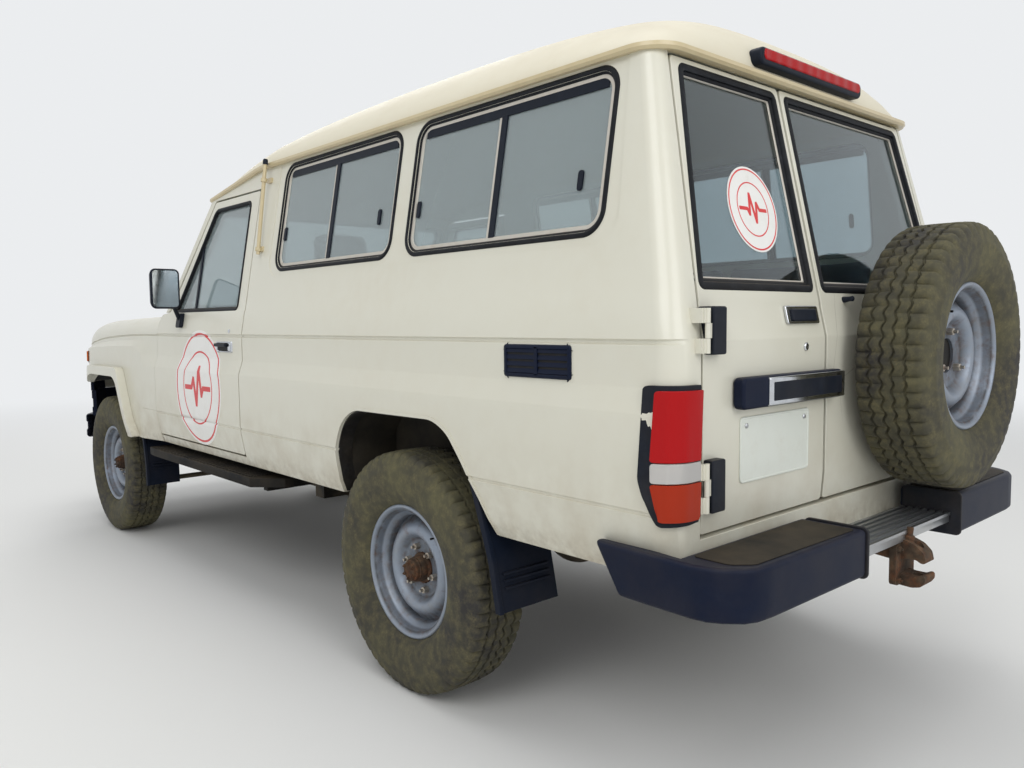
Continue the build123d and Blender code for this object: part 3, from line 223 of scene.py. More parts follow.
def both(tree, first, second, most=1.0):
    """Where two masks agree, up to a share of the whole."""
    shared = node(tree, "Math", {0: first, 1: second}, operation="MULTIPLY")
    return node(tree, "Math", {0: shared.outputs[0], 1: most}, operation="MULTIPLY").outputs[0]


def blotches(tree, large, small, most):
    """Patches of two sizes, (size_mm, start, end) each, where they agree."""
    return both(tree, patches(tree, *large), patches(tree, *small), most)


def lay_over(tree, mask, colour, roughness):
    """Lay dust, rust or a stain over a finish where the mask says."""
    for name, kind, under_at, over_at, out_at, over in (
        ("Base Color", "RGBA", 6, 7, 2, linear(colour)),
        ("Roughness", "FLOAT", 2, 3, 0, roughness),
    ):
        socket = principled(tree).inputs[name]
        under = socket.links[0].from_socket if socket.is_linked else socket.default_value
        if kind == "RGBA" and not socket.is_linked:
            under = tuple(under)
        mixed = node(tree, "Mix", {0: mask, under_at: under, over_at: over}, data_type=kind)
        tree.links.new(mixed.outputs[out_at], socket)


def relief(tree, size_mm, height_mm):
    """A fine bump of one grain size, added to the bumps that are already there."""
    grain = patches(tree, size_mm, 0.3, 0.7, 3.0)
    links = {"Height": grain, "Distance": height_mm / 1000, "Strength": 1.0}
    normal = principled(tree).inputs["Normal"]
    if normal.is_linked:
        links["Normal"] = normal.links[0].from_socket
    bump = node(tree, "Bump", links)
    tree.links.new(bump.outputs[0], normal)


def scratches(tree, cell_mm, width, start, end):
    """Hair-thin scratches: the borders between cells, broken up by patches."""
    place = node(tree, "TexCoord").outputs["Object"]
    bent = node(tree, "Mapping", {"Vector": place, "Scale": (1, 0.35, 1), "Rotation": (0.3, 0.2, 0.1)})
    cells = node(tree, "TexVoronoi", {"Vector": bent.outputs[0], "Scale": 1000 / cell_mm},
        feature="DISTANCE_TO_EDGE")
    thin = node(tree, "MapRange", {"Value": cells.outputs["Distance"], "From Min": width, "From Max": 0})
    return both(tree, thin.outputs[0], patches(tree, cell_mm * 1.7, start, end))


# %% [markdown]
# The body is stoved alkyd enamel in cream, sprayed on pressed steel, with a slight orange peel. Years in
# the sun made it matt in patches, and mud dried along its lower edge. The clear coat is weak, so its gloss
# is soft. The drip rail is stained brown by the water that runs along it.

# %% Body paint
DUST = "#A69477"
MUD = "#7C6A50"


def body_enamel(name, colour, faded, dust_share, roughness=0.34, coat=0.35):
    """Stoved enamel, faded in patches, with mud low down and dust on top."""
    tree = new_finish(name, colour, roughness, Coat_Weight=coat, Coat_Roughness=0.16)
    lay_over(tree, blotches(tree, (900, 0.35, 0.75), (60, 0.2, 0.7), 0.55), faded, roughness + 0.12)
    mud_line = both(tree, by_height(tree, 0.58, 0.98), patches(tree, 130, 0.38, 0.72), 0.42)
    lay_over(tree, mud_line, DUST, 0.8)
    lay_over(tree, both(tree, by_height(tree, 0.56, 0.70), patches(tree, 35, 0.35, 0.7), 0.6), MUD, 0.85)
    lay_over(tree, both(tree, facing_up(tree), patches(tree, 220, 0.3, 0.8), dust_share), DUST, 0.75)
    lay_over(tree, both(tree, scratches(tree, 420, 0.0035, 0.60, 0.68), patches(tree, 500, 0.5, 0.55), 0.5),
        "#6E6248", 0.6)
    relief(tree, 3.0, 0.012)


body_enamel("cream_enamel", "#DAD8C9", "#D1CBB7", 0.35)
# The roof takes the sun all day, so its gloss has gone
body_enamel("roof_enamel", "#E0DAC6", "#D6CCB2", 0.30, 0.60, 0.05)
body_enamel("drip_enamel", "#CDBE98", "#A98E5E", 0.30)
print("finishes", len(FINISH))

# %% [markdown]
# Rubber and moulded plastic are near black with a blue cast, and matt where the sun bleached them. The
# corner bumpers are polypropylene with a fine leather grain.

# %% Rubber and plastic
def dusty_black(name, colour, roughness, dust_share, grain_mm, grain_depth_mm, bleach="#4A4E55"):
    """Black rubber or plastic with bleached patches, a fine grain and road dust."""
    tree = new_finish(name, colour, roughness, Specular_IOR_Level=0.14)
    lay_over(tree, blotches(tree, (70, 0.45, 0.8), (9, 0.3, 0.7), 0.4), bleach, min(1.0, roughness + 0.2))
    lay_over(tree, both(tree, patches(tree, 120, 0.3, 0.75), by_height(tree, 0.1, 1.6), dust_share), DUST, 0.9)
    lay_over(tree, both(tree, facing_up(tree), patches(tree, 90, 0.25, 0.7), dust_share), DUST, 0.9)
    relief(tree, grain_mm, grain_depth_mm)


dusty_black("epdm_seal_rubber", "#15171B", 0.52, 0.15, 2.0, 0.03)
dusty_black("grained_polypropylene", "#07132A", 0.46, 0.05, 2.2, 0.08, "#17243A")
dusty_black("moulded_rubber", "#101215", 0.62, 0.10, 3.0, 0.1, "#2A2D31")
dusty_black("flap_rubber", "#0A1526", 0.6, 0.04, 3.0, 0.1, "#16202F")
dusty_black("moulded_abs", "#141A25", 0.42, 0.10, 1.6, 0.03, "#333B48")
dusty_black("chassis_enamel", "#141517", 0.5, 0.32, 5.0, 0.2, "#2C2A27")
dusty_black("cast_iron", "#45413B", 0.6, 0.35, 4.0, 0.4, "#5B4A3A")
dusty_black("floor_enamel", "#2C2B29", 0.7, 0.2, 6.0, 0.4, "#45423B")

tree = new_finish("tyre_rubber", "#2B2927", 0.78)
lay_over(tree, patches(tree, 240, 0.36, 0.72, 8.0), "#5A573F", 0.92)
lay_over(tree, blotches(tree, (30, 0.42, 0.7), (6, 0.3, 0.7), 0.6), "#7B724E", 0.95)
relief(tree, 4.0, 0.25)
relief(tree, 1.2, 0.08)

# %% [markdown]
# The wheels are sprayed silver over pressed steel, so they are paint with a metallic base. Hubs and the
# towing jaw are bare iron gone to rust. Handles are chrome plate.

# %% Metals
def rusting(name, colour, roughness, metallic, rust_start, rust_share, grain_mm=6.0):
    """Metal that goes to rust in patches, with the rust's own pitted grain."""
    tree = new_finish(name, colour, roughness, Metallic=metallic)
    lay_over(tree, blotches(tree, (45, rust_start, rust_start + 0.22), (8, 0.3, 0.6), rust_share), "#6B3E22", 0.9)
    lay_over(tree, blotches(tree, (14, rust_start + 0.05, rust_start + 0.3), (90, 0.4, 0.7), rust_share * 0.8),
        "#8C5A30", 0.92)
    lay_over(tree, blotches(tree, (160, 0.35, 0.8), (25, 0.3, 0.7), 0.35), DUST, 0.85)
    relief(tree, grain_mm, 0.15)


rusting("silver_wheel_enamel", "#8E98A6", 0.38, 0.55, 0.56, 0.55)
# Shade is painted dark into a wheel's troughs, and rust is laid there too, by a mask that the rims carry as an
# attribute
wheel = FINISH["silver_wheel_enamel"].node_tree
trough_shade_and_rust_mask = node(wheel, "Attribute", attribute_name="grime").outputs["Fac"]
# Painted shade: the troughs darkened
lay_over(wheel, both(wheel, trough_shade_and_rust_mask, patches(wheel, 60, 0.15, 0.55), 0.9), "#33302A", 0.85)
# Rust in the same troughs
lay_over(wheel, both(wheel, trough_shade_and_rust_mask, patches(wheel, 25, 0.5, 0.7), 0.6), "#6B4327", 0.9)
rusting("rusted_iron", "#33251C", 0.85, 0.25, 0.42, 0.75, 3.0)
rusting("pipe_steel", "#6A6158", 0.6, 0.7, 0.40, 0.8)
rusting("mill_aluminium", "#B9BCBF", 0.34, 1.0, 0.72, 0.3, 2.0)
rusting("sash_aluminium", "#C9C4BA", 0.5, 0.35, 0.80, 0.1, 2.0)
rusting("worn_nut_plate", "#B4ADA2", 0.32, 0.9, 0.50, 0.6, 2.0)

tree = new_finish("chrome_plate", "#C9CCD0", 0.12, Metallic=1.0)
lay_over(tree, blotches(tree, (20, 0.45, 0.8), (5, 0.3, 0.7), 0.35), "#8D8577", 0.5)

# %% [markdown]
# Glass is a real pane 5 mm thick with a little green in it, so it shows the inside and takes the
# light of the studio. Lamp lenses are acrylic in red, clear and amber, ribbed on the inside.

# %% Glass and lenses
def see_through(name, colour, roughness, transmission, ior=1.5, **inputs):
    """Glass or acrylic: its pane is never quite flat."""
    tree = new_finish(name, colour, roughness, Transmission_Weight=transmission, IOR=ior, **inputs)
    relief(tree, 400, 0.02)
    return tree


see_through("tempered_glass", "#C4D6DE", 0.0, 1.0)
# The side panes carry more dust, a pale haze, which is partly a painted reflection that brightens them
see_through("dust_and_reflection_glass", "#CBD8DA", 0.0, 0.70)
tree = new_finish("mirror_glass", "#C9D0D6", 0.06, Metallic=1.0)
lay_over(tree, blotches(tree, (90, 0.3, 0.8), (14, 0.3, 0.7), 0.45), "#A9AEB2", 0.5)
see_through("lamp_glass", "#E8EEF2", 0.04, 0.9)
for lens_name, lens_colour, let_through in (
    ("red_acrylic", "#B0080D", 0.08),
    ("clear_acrylic", "#E6E3DF", 0.45),
    ("amber_acrylic", "#A92C08", 0.1),
    ("orange_acrylic", "#DD6A0C", 0.15),
):
    tree = see_through(lens_name, lens_colour, 0.12, let_through, 1.49, Specular_IOR_Level=0.2)
    # Ribs on the back of the lens, 9 mm apart, run up and down, also round the corner
    place = node(tree, "SeparateXYZ", {0: node(tree, "TexCoord").outputs["Object"]})
    outward = node(tree, "Math", {0: place.outputs["X"]}, operation="ABSOLUTE").outputs[0]
    around = node(tree, "Math", {0: outward, 1: place.outputs["Y"]}, operation="SUBTRACT").outputs[0]
    along = node(tree, "CombineXYZ", {0: around}).outputs[0]
    ribs = node(tree, "TexWave", {"Vector": along, "Scale": 1000 / 9 / 20, "Distortion": 0.0}, wave_type="BANDS",
        bands_direction="X")
    bump = node(tree, "Bump", {"Height": ribs.outputs["Fac"], "Distance": 0.0012})
    tree.links.new(bump.outputs[0], principled(tree).inputs["Normal"])

# %% [markdown]
# Seats and benches are vinyl over foam, with a pebble grain and a soft sheen. Stickers are printed film,
# smoother and whiter than the paint under them.

# %% Vinyl and film
tree = new_finish("seat_vinyl", "#5A5F66", 0.5, Sheen_Weight=0.2)
lay_over(tree, blotches(tree, (150, 0.4, 0.75), (20, 0.3, 0.7), 0.5), "#74716B", 0.65)
relief(tree, 2.5, 0.15)

for film_name, film_colour in (("white_film", "#EFEEEA"), ("red_film", "#D6151D"), ("plate_enamel", "#DFE3DA")):
    tree = new_finish(film_name, film_colour, 0.4, Coat_Weight=0.2)
    lay_over(tree, blotches(tree, (80, 0.45, 0.8), (12, 0.3, 0.7), 0.2), DUST, 0.7)
print("finishes", sorted(FINISH))


# %% [markdown]
# A pressed panel starts as a flat blank. It is cut to its outline, its windows and arches are punched out,
# and only then is it folded along its creases. The same order works here: cuts are made while the blank is
# flat, where they are exact, and one function then moves every point onto the body's surface.

# %% Tools for pressed panels
MM = 0.001
# Edges that turn by more than this many degrees are eased
EASED_FROM = 38
REARWARDS = Vector((0, 1, 0))
SIDES = ((1, "left"), (-1, "right"))
record = frame["record"]
body_of = {n: b for b, names in record["behaviour"]["bodies"].items() for n in names}
slot_of = {row["node"]: row["material_slot"] for row in record["subparts"]}
made_pieces = []


def tell(stage):
    """Say how many pieces there are by now."""
    print("after the", stage, len(made_pieces))


def unit(value):
    """The value kept between 0 and 1."""
    return min(1, max(0, value))


def all_of(shape):
    """Every corner, edge and face of a shape."""
    return shape.verts[:] + shape.edges[:] + shape.faces[:]


def rounded(shape, geom, offset, segments, affect="EDGES"):
    """Round some edges or corners of a shape."""
    bmesh.ops.bevel(shape, geom=geom, offset=offset, affect=affect, segments=segments, profile=0.5, material=-1)


def face_outwards(shape):
    """Turn every face of a closed shape to look out."""
    bmesh.ops.recalc_face_normals(shape, faces=shape.faces)


def settle(shape, name, finish, slot="trim_plastic", bevel_mm=0.0, segments=2, sharp=35, body=BODY, replaces=""):
    """Make a piece that rides on a body of a bmesh or several. The slot is a name, or the CAD piece that has it; it
    is not used.
    """
    if isinstance(shape, list):
        shape = joined(shape)
    data = as_mesh(shape, name)
    data.shade_smooth()
    data.set_sharp_from_angle(angle=math.radians(sharp))
    data.materials.append(FINISH[finish])
    piece = in_scene(name, data)
    if bevel_mm:
        ease = piece.modifiers.new("eased_edges", "BEVEL")
        ease.width = bevel_mm * MM
        ease.segments = segments
        ease.limit_method = "ANGLE"
        ease.angle_limit = math.radians(EASED_FROM)
        ease.harden_normals = True
    slot = slot_of.get(slot, slot)
    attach(piece, body)
    if replaces:
        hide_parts(replaces)
    made_pieces.append(piece)
    return piece


def rectangle(a0, a1, b0, b1):
    """Four corners of an upright rectangle."""
    return (a0, b0), (a1, b0), (a1, b1), (a0, b1)


def circle(a, b, radius, count=72):
    """Points round a circle."""
    turns = [math.tau * i / count for i in range(count)]
    return [(a + radius * math.cos(t), b + radius * math.sin(t)) for t in turns]


def blank(points, radius_mm, low, high, segments=8):
    """A flat blank, rounded, from depth low to depth high. Its corners are (a, depth, b) in mm until it is laid."""
    shape = bmesh.new()
    shape.faces.new([shape.verts.new((a, low, b)) for a, b in points])
    if radius_mm:
        rounded(shape, shape.verts[:], radius_mm, segments, "VERTICES")
    raised = bmesh.ops.extrude_face_region(shape, geom=shape.faces[:])
    for corner in raised["geom"]:
        if isinstance(corner, bmesh.types.BMVert):
            corner.co.y = high
    face_outwards(shape)
    return shape


def as_modified(thing):
    """The mesh that an object's modifiers make of it."""
    return bpy.data.meshes.new_from_object(thing.evaluated_get(bpy.context.evaluated_depsgraph_get()))


def carved(shape, cutters, operation="DIFFERENCE"):
    """The shape with every cutter taken out of it, joined to it, or kept only where it meets them."""
    target = in_scene("work", as_mesh(shape, "work"))
    tools = [in_scene("tool", as_mesh(cutter, "tool")) for cutter in cutters]
    for tool in tools:
        cut = target.modifiers.new("cut", "BOOLEAN")
        cut.solver = "EXACT"
        cut.operation = operation
        cut.object = tool
    result = as_modified(target)
    for spare in tools + [target]:
        old = spare.data
        bpy.data.objects.remove(spare)
        bpy.data.meshes.remove(old)
    back = bmesh.new()
    back.from_mesh(result)
    bpy.data.meshes.remove(result)
    return back


def joined(shapes):
    """Several shapes as one."""
    whole = bmesh.new()
    for shape in shapes:
        data = as_mesh(shape, "part")
        whole.from_mesh(data)
        bpy.data.meshes.remove(data)
    return whole


def folded(shape, heights, stations):
    """Score a flat blank along heights and stations, so that it can bend there."""
    for axis, marks in ((2, heights), (0, stations)):
        for mark in marks:
            place = Vector((0, 0, 0))
            place[axis] = mark
            way = Vector((0, 0, 0))
            way[axis] = 1
            bmesh.ops.bisect_plane(shape, geom=all_of(shape), dist=0.02, plane_co=place, plane_no=way)


def laid(shape, lay, heights=(), stations=()):
    """Lay a blank, scored first, in its place: lay(a, b, depth) gives x, y, z in mm."""
    folded(shape, heights, stations)
    for corner in shape.verts:
        a, depth, b = corner.co
        corner.co = Vector(lay(a, b, depth)) * MM
    bmesh.ops.remove_doubles(shape, verts=shape.verts, dist=1e-5)
    face_outwards(shape)
    return shape


def sideways(side):
    """Lay a blank cut in the side view: a is along, b the height, depth runs out from the middle."""
    return lambda a, b, depth: (side * depth, a, b)


def in_plan(side):
    """Lay a blank cut in plan: a is across, b along and depth the height."""
    return lambda a, b, depth: (side * a, b, depth)


level = in_plan(1)


def slab(lay, box, radius_mm, low, high, segments=8):
    """A rectangular blank, a0, a1, b0 and b1 of its box, laid in its place."""
    return laid(blank(rectangle(*box), radius_mm, low, high, segments), lay)


def moulding(points, radius_mm, steps, lay, segments, start):
    """A strip round an opening: an outline stepped inwards by (width, rise) pairs in mm."""
    shape = bmesh.new()
    shape.faces.new([shape.verts.new((a, b, 0)) for a, b in points])
    rounded(shape, shape.verts[:], radius_mm, segments, "VERTICES")
    shape.faces.ensure_lookup_table()
    middle = shape.faces[0]
    middle.normal_update()
    if middle.normal.z < 0:
        middle.normal_flip()
    for width, rise in steps:
        bmesh.ops.inset_region(shape, faces=[middle], use_boundary=True, use_even_offset=True, thickness=width,
            depth=rise)
    bmesh.ops.delete(shape, geom=[middle], context="FACES_ONLY")
    bmesh.ops.bridge_loops(shape, edges=[edge for edge in shape.edges if edge.is_boundary])
    for corner in shape.verts:
        a, b, rise = corner.co
        corner.co = Vector(lay(a, b, -rise - start)) * MM
    face_outwards(shape)
    return shape


def mapped_grid(columns, rows, place):
    """A grid whose corner in each column and row is moved to place(column, row), in mm."""
    sheet = bmesh.new()
    bmesh.ops.create_grid(sheet, x_segments=columns, y_segments=rows, size=1)
    for corner in sheet.verts:
        column = round((corner.co.x + 1) / 2 * columns)
        row = round((corner.co.y + 1) / 2 * rows)
        corner.co = Vector(place(column, row)) * MM
    bmesh.ops.remove_doubles(sheet, verts=sheet.verts, dist=1e-5)
    face_outwards(sheet)
    return sheet


def drawn(path, section, closed=False, upright=Vector((0, 0, 1))):
    """Draw a section of (outward, up) pairs along a path in millimetres, as a rail or a tube is drawn."""
    points = [Vector(p) for p in path]
    count = len(points)

    def place(column, row):
        here = column % count if closed else column
        ahead = points[(here + 1) % count] if closed or here + 1 < count else points[here]
        behind = points[here - 1] if closed or here else points[here]
        along = (ahead - behind).normalized()
        out = along.cross(upright).normalized()
        over = out.cross(along)
        a, b = section[row % len(section)]
        return points[here] + out * a + over * b

    shape = mapped_grid(count if closed else count - 1, len(section), place)
    if not closed:
        ends = [edge for edge in shape.edges if edge.is_boundary]
        bmesh.ops.holes_fill(shape, edges=ends, sides=0)
        face_outwards(shape)
    return shape


def turned(profile, place, outward, steps):
    """Turn a closed profile of (radius, along) pairs about an axis, as on a lathe, in mm."""
    shape = bmesh.new()
    ring = [shape.verts.new((radius, 0, along)) for radius, along in profile]
    edges = [shape.edges.new((a, b)) for a, b in zip(ring, ring[1:] + ring[:1])]
    bmesh.ops.spin(shape, geom=ring + edges, cent=(0, 0, 0), axis=(0, 0, 1), angle=math.tau, steps=steps,
        use_merge=True)
    bmesh.ops.remove_doubles(shape, verts=shape.verts, dist=0.005)
    bmesh.ops.delete(shape, geom=[edge for edge in shape.edges if not edge.link_faces], context="EDGES")
    face_outwards(shape)
    stand(shape, place, outward)
    return shape


def stand(shape, place, outward):
    """Stand a shape made about its own Z axis at a place, looking outward, in mm."""
    turn = Vector((0, 0, 1)).rotation_difference(Vector(outward)).to_matrix().to_4x4()
    bmesh.ops.transform(shape, matrix=Matrix.Scale(MM, 4) @ Matrix.Translation(Vector(place)) @ turn,
        verts=shape.verts)
    return shape


def soften(name, finish, bevel_mm):
    """A CAD piece whose shape is right, with its edges eased."""
    shape = bmesh.new()
    shape.from_mesh(nodes[name].data)
    bmesh.ops.remove_doubles(shape, verts=shape.verts, dist=2e-5)
    bmesh.ops.dissolve_limit(shape, angle_limit=math.radians(0.6), verts=shape.verts, edges=shape.edges)
    settle(shape, name + "_shape", finish, name, bevel_mm, body=body_of[name], replaces=name)


print("tools ready")


# %% [markdown]
# The body side is one pressing: it tucks in at the sill, has a fine groove and a shoulder crease, and leans
# in above the belt line. Rolling dies make such a section the same all the way along, so one table of
# heights and half widths gives both sides.

# %% The surface of the body
BELT, GUTTER, FRONT_GUTTER = 1156, 1866, 1788
SKIN = (
    # height, half width
    (600, 807), (645, 823), (754.5, 842.4), (757.5, 838.6), (762.5, 838.6), (765.5, 843), (987, 843),
    (993, 841.9), (1048, 824), (1053, 823), (1149, 823), (1152.5, 816.8), (1159.5, 816.6), (1163, 823.2),
    (1261, 805.7), (1269, 801.6), (1866, 696.6),
)
FOLDS = tuple(z for z, x in SKIN[1:-1])
REAR_FACE, REAR_LEAN = 2345, 0.2306
DOOR_REAR = 80
DOOR_LEAN = 0.1165
PIN_X, PIN_Y = 732, 2367


def side_x(z):
    """Half width of the outer skin at a height, in mm."""
    for (z0, x0), (z1, x1) in zip(SKIN, SKIN[1:]):
        if z <= z1:
            break
    return x0 + (x1 - x0) * (z - z0) / (z1 - z0)


def rear_y(z):
    """The rear face at a height, in mm."""
    return REAR_FACE - REAR_LEAN * max(0, z - BELT)


def post_x(z):
    """Half width of the rear door opening at a height."""
    return 726 - DOOR_LEAN * max(0, z - BELT)


def on_side(side):
    """Lay a blank on a body side: a is the station along the vehicle and b the height."""
    return lambda a, b, depth: (side * (side_x(b) - depth), a, b)


def on_rear(a, b, depth):
    """Lay a blank on the rear face: a is across and b the height."""
    return a, rear_y(b) - depth, b


def on_shell(side):
    """Lay a blank on a side and on round the rear corner: the corner lies between a = 2200 and a = 2300."""
    def lay(a, b, depth):
        skin, back = side_x(b), rear_y(b)
        turn = 60 - 14 * max(0, b - BELT) / (GUTTER - BELT)
        if a <= 2100:
            return side * (skin - depth), a, b
        if a <= 2200:
            return side * (skin - depth), 2100 + (back - turn - 2100) * (a - 2100) / 100, b
        if a <= 2300:
            angle = (a - 2200) / 100 * math.pi / 2
            reach = turn - depth
            return side * (skin - turn + reach * math.cos(angle)), back - turn + reach * math.sin(angle), b
        flat = skin - turn
        return side * (flat + (post_x(b) - flat) * (a - 2300) / 100), back - depth, b
    return lay


CORNER = (2100, *range(2200, 2310, 10))
print("half width at the belt", side_x(BELT))

# %% [markdown]
# Each body side carries two windows and a wheel arch. Round both windows the steel is pushed in by three
# millimetres, which stiffens it and catches the light as a fine line. The sheet goes on round the rear
# corner to the edge of the rear doors.

# %% Body sides with the rear corners
BODY_OUTLINE = ((-930, 600), (2400, 600), (2400, 1866), (80, 1866), (-447, 1788), (-447, 1783), (88, 1783),
    (88, 637), (-930, 637))
SIDE_WINDOWS = ((315, 1130), (1235, 2072))
WINDOW_LOW, WINDOW_HIGH = 1430, 1840
REAR_ARCH = ((873, 300), (873, 790), (965, 912), (1503, 916), (1637, 760), (1735, 580), (1800, 300))


def window_box(index, grow=0):
    """Outline of a side window, made larger by grow all round."""
    front, rear = SIDE_WINDOWS[index]
    low, high = WINDOW_LOW - grow, WINDOW_HIGH + grow
    return rectangle(front - grow, rear + grow, low, high)


for side, word in SIDES:
    punches = [blank(window_box(i), 55, -20, 90) for i in (0, 1)]
    punches.append(blank(REAR_ARCH, 75, -20, 90, 10))
    punches.append(blank(rectangle(252, 2128, 1396, 2000), 80, -20, 3, 10))
    shell = carved(blank(BODY_OUTLINE, 0, 0, 40), punches)
    settle(laid(shell, on_shell(side), FOLDS, CORNER), f"body_side_{word}_shape", "cream_enamel",
        f"body_side_{word}", 2.0, replaces=f"body_side_{word}")
settle(slab(on_rear, (-727, 727, 600, 692), 0, 0, 40), "rear_frame_shape", "cream_enamel", "rear_frame", 2.0,
    replaces="rear_frame")
print("body panels", len(made_pieces))

# %% [markdown]
# The roof is a deep raised pressing. Its section is a superellipse: nearly flat on top, then a quick turn
# down. A grid whose points follow that formula gives one continuous sheet.

# %% Roof
ROOF_HALF = 696.6
ROOF_REAR = 2195
ROOF_LINE = (
    # station and height of the crown along the middle
    (-465, 1788), (-466, 1806), (-452, 1842), (-420, 1888), (-365, 1942), (-270, 1990), (-135, 2034),
    (60, 2066), (295, 2092), (560, 2107), (835, 2114), (1160, 2114), (1495, 2107), (1740, 2093),
    (1945, 2068), (2060, 2040), (2125, 2008), (2165, 1972), (2187, 1930), (2195, 1890), (2195, 1866),
)
ROOF_TURN = 78


def between(a, b, share):
    """The point at a share of the way from a to b."""
    return a + (b - a) * share


def along_curve(points, steps):
    """Even points on a smooth curve through the given ones, with the ends kept."""
    path = [Vector(p) for p in points]
    path = [path[0] * 2 - path[1]] + path + [path[-1] * 2 - path[-2]]
    fine = []
    for i in range(1, len(path) - 2):
        p0, p1, p2, p3 = path[i - 1:i + 3]
        for k in range(24):
            t = k / 24
            fine.append(0.5 * ((2 * p1) + (p2 - p0) * t + (2 * p0 - 5 * p1 + 4 * p2 - p3) * t * t + (3 * p1 - p0
                - 3 * p2 + p3) * t ** 3))
    fine.append(path[-2])
    gone = [0.0]
    for a, b in zip(fine, fine[1:]):
        gone.append(gone[-1] + (b - a).length)
    even, at = [], 0
    for step in range(steps + 1):
        want = gone[-1] * step / steps
        while at < len(gone) - 2 and gone[at + 1] < want:
            at += 1
        span = gone[at + 1] - gone[at]
        even.append(between(fine[at], fine[at + 1], (want - gone[at]) / span if span else 0))
    return even


crown = along_curve(ROOF_LINE, 110)


def roof_edge_z(y):
    """Height of the drip rail at a station."""
    return FRONT_GUTTER + (GUTTER - FRONT_GUTTER) * unit((y + 447) / (DOOR_REAR + 447))


def roof_half(y):
    """Half width of the roof at a station, rounded at its four corners."""
    for near in (ROOF_REAR - y, y + 466):
        if near < ROOF_TURN:
            short = ROOF_TURN - max(near, 0)
            return ROOF_HALF - ROOF_TURN + math.sqrt(max(0, ROOF_TURN ** 2 - short ** 2))
    return ROOF_HALF


def roof_point(column, row):
    """A corner of the roof: column goes back along its crown, and row across it."""
    y, z = crown[column]
    edge = roof_edge_z(y)
    across = math.sin((row / 48 - 0.5) * math.pi)
    rise = max(0, z - edge) * (1 - abs(across) ** 3.0) ** 0.60
    return across * roof_half(y), y, edge + rise


outer = mapped_grid(110, 48, roof_point)
bmesh.ops.solidify(outer, geom=all_of(outer), thickness=0.024)
settle(outer, "roof_shape", "roof_enamel", "roof", sharp=60, replaces="roof")

# The drip rail catches water off the roof: a shallow trough down both sides and across the back
RAIL_X = ROOF_HALF + 1
rail_path = [(RAIL_X, -452, 1788), (RAIL_X, DOOR_REAR - 30, 1861), (RAIL_X, DOOR_REAR + 30, 1866),
    (RAIL_X, ROOF_REAR - ROOF_TURN, 1866)]
turn_steps = 10
for i in range(1, turn_steps + 1):
    angle = i / turn_steps * math.pi / 2
    rail_path.append((RAIL_X - ROOF_TURN * (1 - math.cos(angle)), ROOF_REAR - ROOF_TURN * (1 - math.sin(angle)),
        1866))
rail_path = rail_path + [(-x, y, z) for x, y, z in reversed(rail_path)]
TROUGH = ((-16, -3), (-16, 10), (-6, 10), (-4, 4), (12, 4), (14, 12), (19, 12), (20, 2), (14, -5))
settle(drawn(rail_path, TROUGH), "drip_rail", "drip_enamel", "roof", sharp=40)
print("crown points", len(crown))


# %% [markdown]
# Each side window slides in a frame: a rubber strip over the cut edge of the steel, a pale aluminium
# channel, and two sashes that overlap at a dark bar. The strips are an outline stepped inwards a few
# millimetres at a time, so they turn the corners like the real ones.

# %% Side window frames
SEAL_STEPS = ((2, 3), (3, 1.6), (6, 0.4), (3, -1.6), (1, -5), (6, -2), (1, -4))
CHANNEL_STEPS = ((1, 2.5), (10, 0.2), (2, -6))


for side, word in SIDES:
    lay = on_side(side)
    for i, (front, rear) in enumerate(SIDE_WINDOWS):
        tag = f"{word}_{i + 1}"
        settle(moulding(window_box(i, 15), 70, SEAL_STEPS, lay, 12, -3.4), f"window_seal_{tag}",
            "epdm_seal_rubber", sharp=50)
        settle(moulding(window_box(i, -6), 49, CHANNEL_STEPS, lay, 12, -12), f"window_channel_{tag}",
            "sash_aluminium", sharp=50)
        middle = (front + rear) / 2 - 16
        settle(slab(lay, (front + 30, rear - 30, WINDOW_HIGH - 44, WINDOW_HIGH - 17), 2, 9.5, 14.5, 4),
            f"sash_top_{tag}", "moulded_abs", bevel_mm=0.8)
        settle(slab(lay, (middle - 3, middle + 21, WINDOW_LOW + 16, WINDOW_HIGH - 40), 2, 8, 24, 4),
            f"sash_bar_{tag}", "moulded_abs", bevel_mm=1.5)
        settle(slab(lay, (middle - 15, middle - 5, WINDOW_LOW + 16, WINDOW_HIGH - 40), 2, 11, 22, 4),
            f"sash_edge_{tag}", "sash_aluminium", bevel_mm=1.5)
        for j, station in enumerate((front + 34, rear - 92)):
            latch = slab(lay, (station - 9, station + 9, 1540, 1594), 8.5, 6, 14.5, 6)
            settle(latch, f"window_latch_{tag}_{j + 1}", "moulded_abs", bevel_mm=2.5)
tell("windows")

# %% [markdown]
# Two rear doors of unequal width close the back. Each is an outer skin with an inner pressing behind it and
# a window in its upper half. It leans in above the belt line, so the blank is folded there.

# %% Rear doors
# Word, and then its hinge edge, split edge and side of the hinge
REAR_DOORS = (("left", (718, 146, 1)), ("right", (-718, 134, -1)))
UPRIGHT = 2371


def rear_door_shape(hinge, split, side, inset):
    """Outline of a rear door, seen from behind."""
    top = 1856 - inset
    lean = DOOR_LEAN * (top - BELT)
    edge, inner = hinge - side * inset, split + side * inset * 2.4
    return (edge, 700 + inset), (edge, BELT), (edge - side * lean, top), (inner, top), (inner, 700 + inset)


def rear_window_shape(hinge, split, side, grow):
    """Outline of its glass opening."""
    low, high = 1288 - grow, 1832 + grow
    lower, upper = (hinge - side * (gap - grow + DOOR_LEAN * (z - BELT)) for gap, z in ((16, low), (38, high)))
    inner = split + side * (26 - grow)
    return (lower, low), (upper, high), (inner, high), (inner, low)


def on_rear_door(a, b, depth):
    """The rear face again, with the door's lower edge pressed in a little."""
    tuck = 6 * unit((778 - b) / 70) + 1.5 * unit((1250 - b) / 6) - 1.5
    return a, rear_y(b) - depth - tuck, b


def upright_to(y):
    """Lay a piece between the rear face and an upright plane."""
    return lambda a, b, depth: (a, y if depth < 0 else rear_y(b) - depth, b)


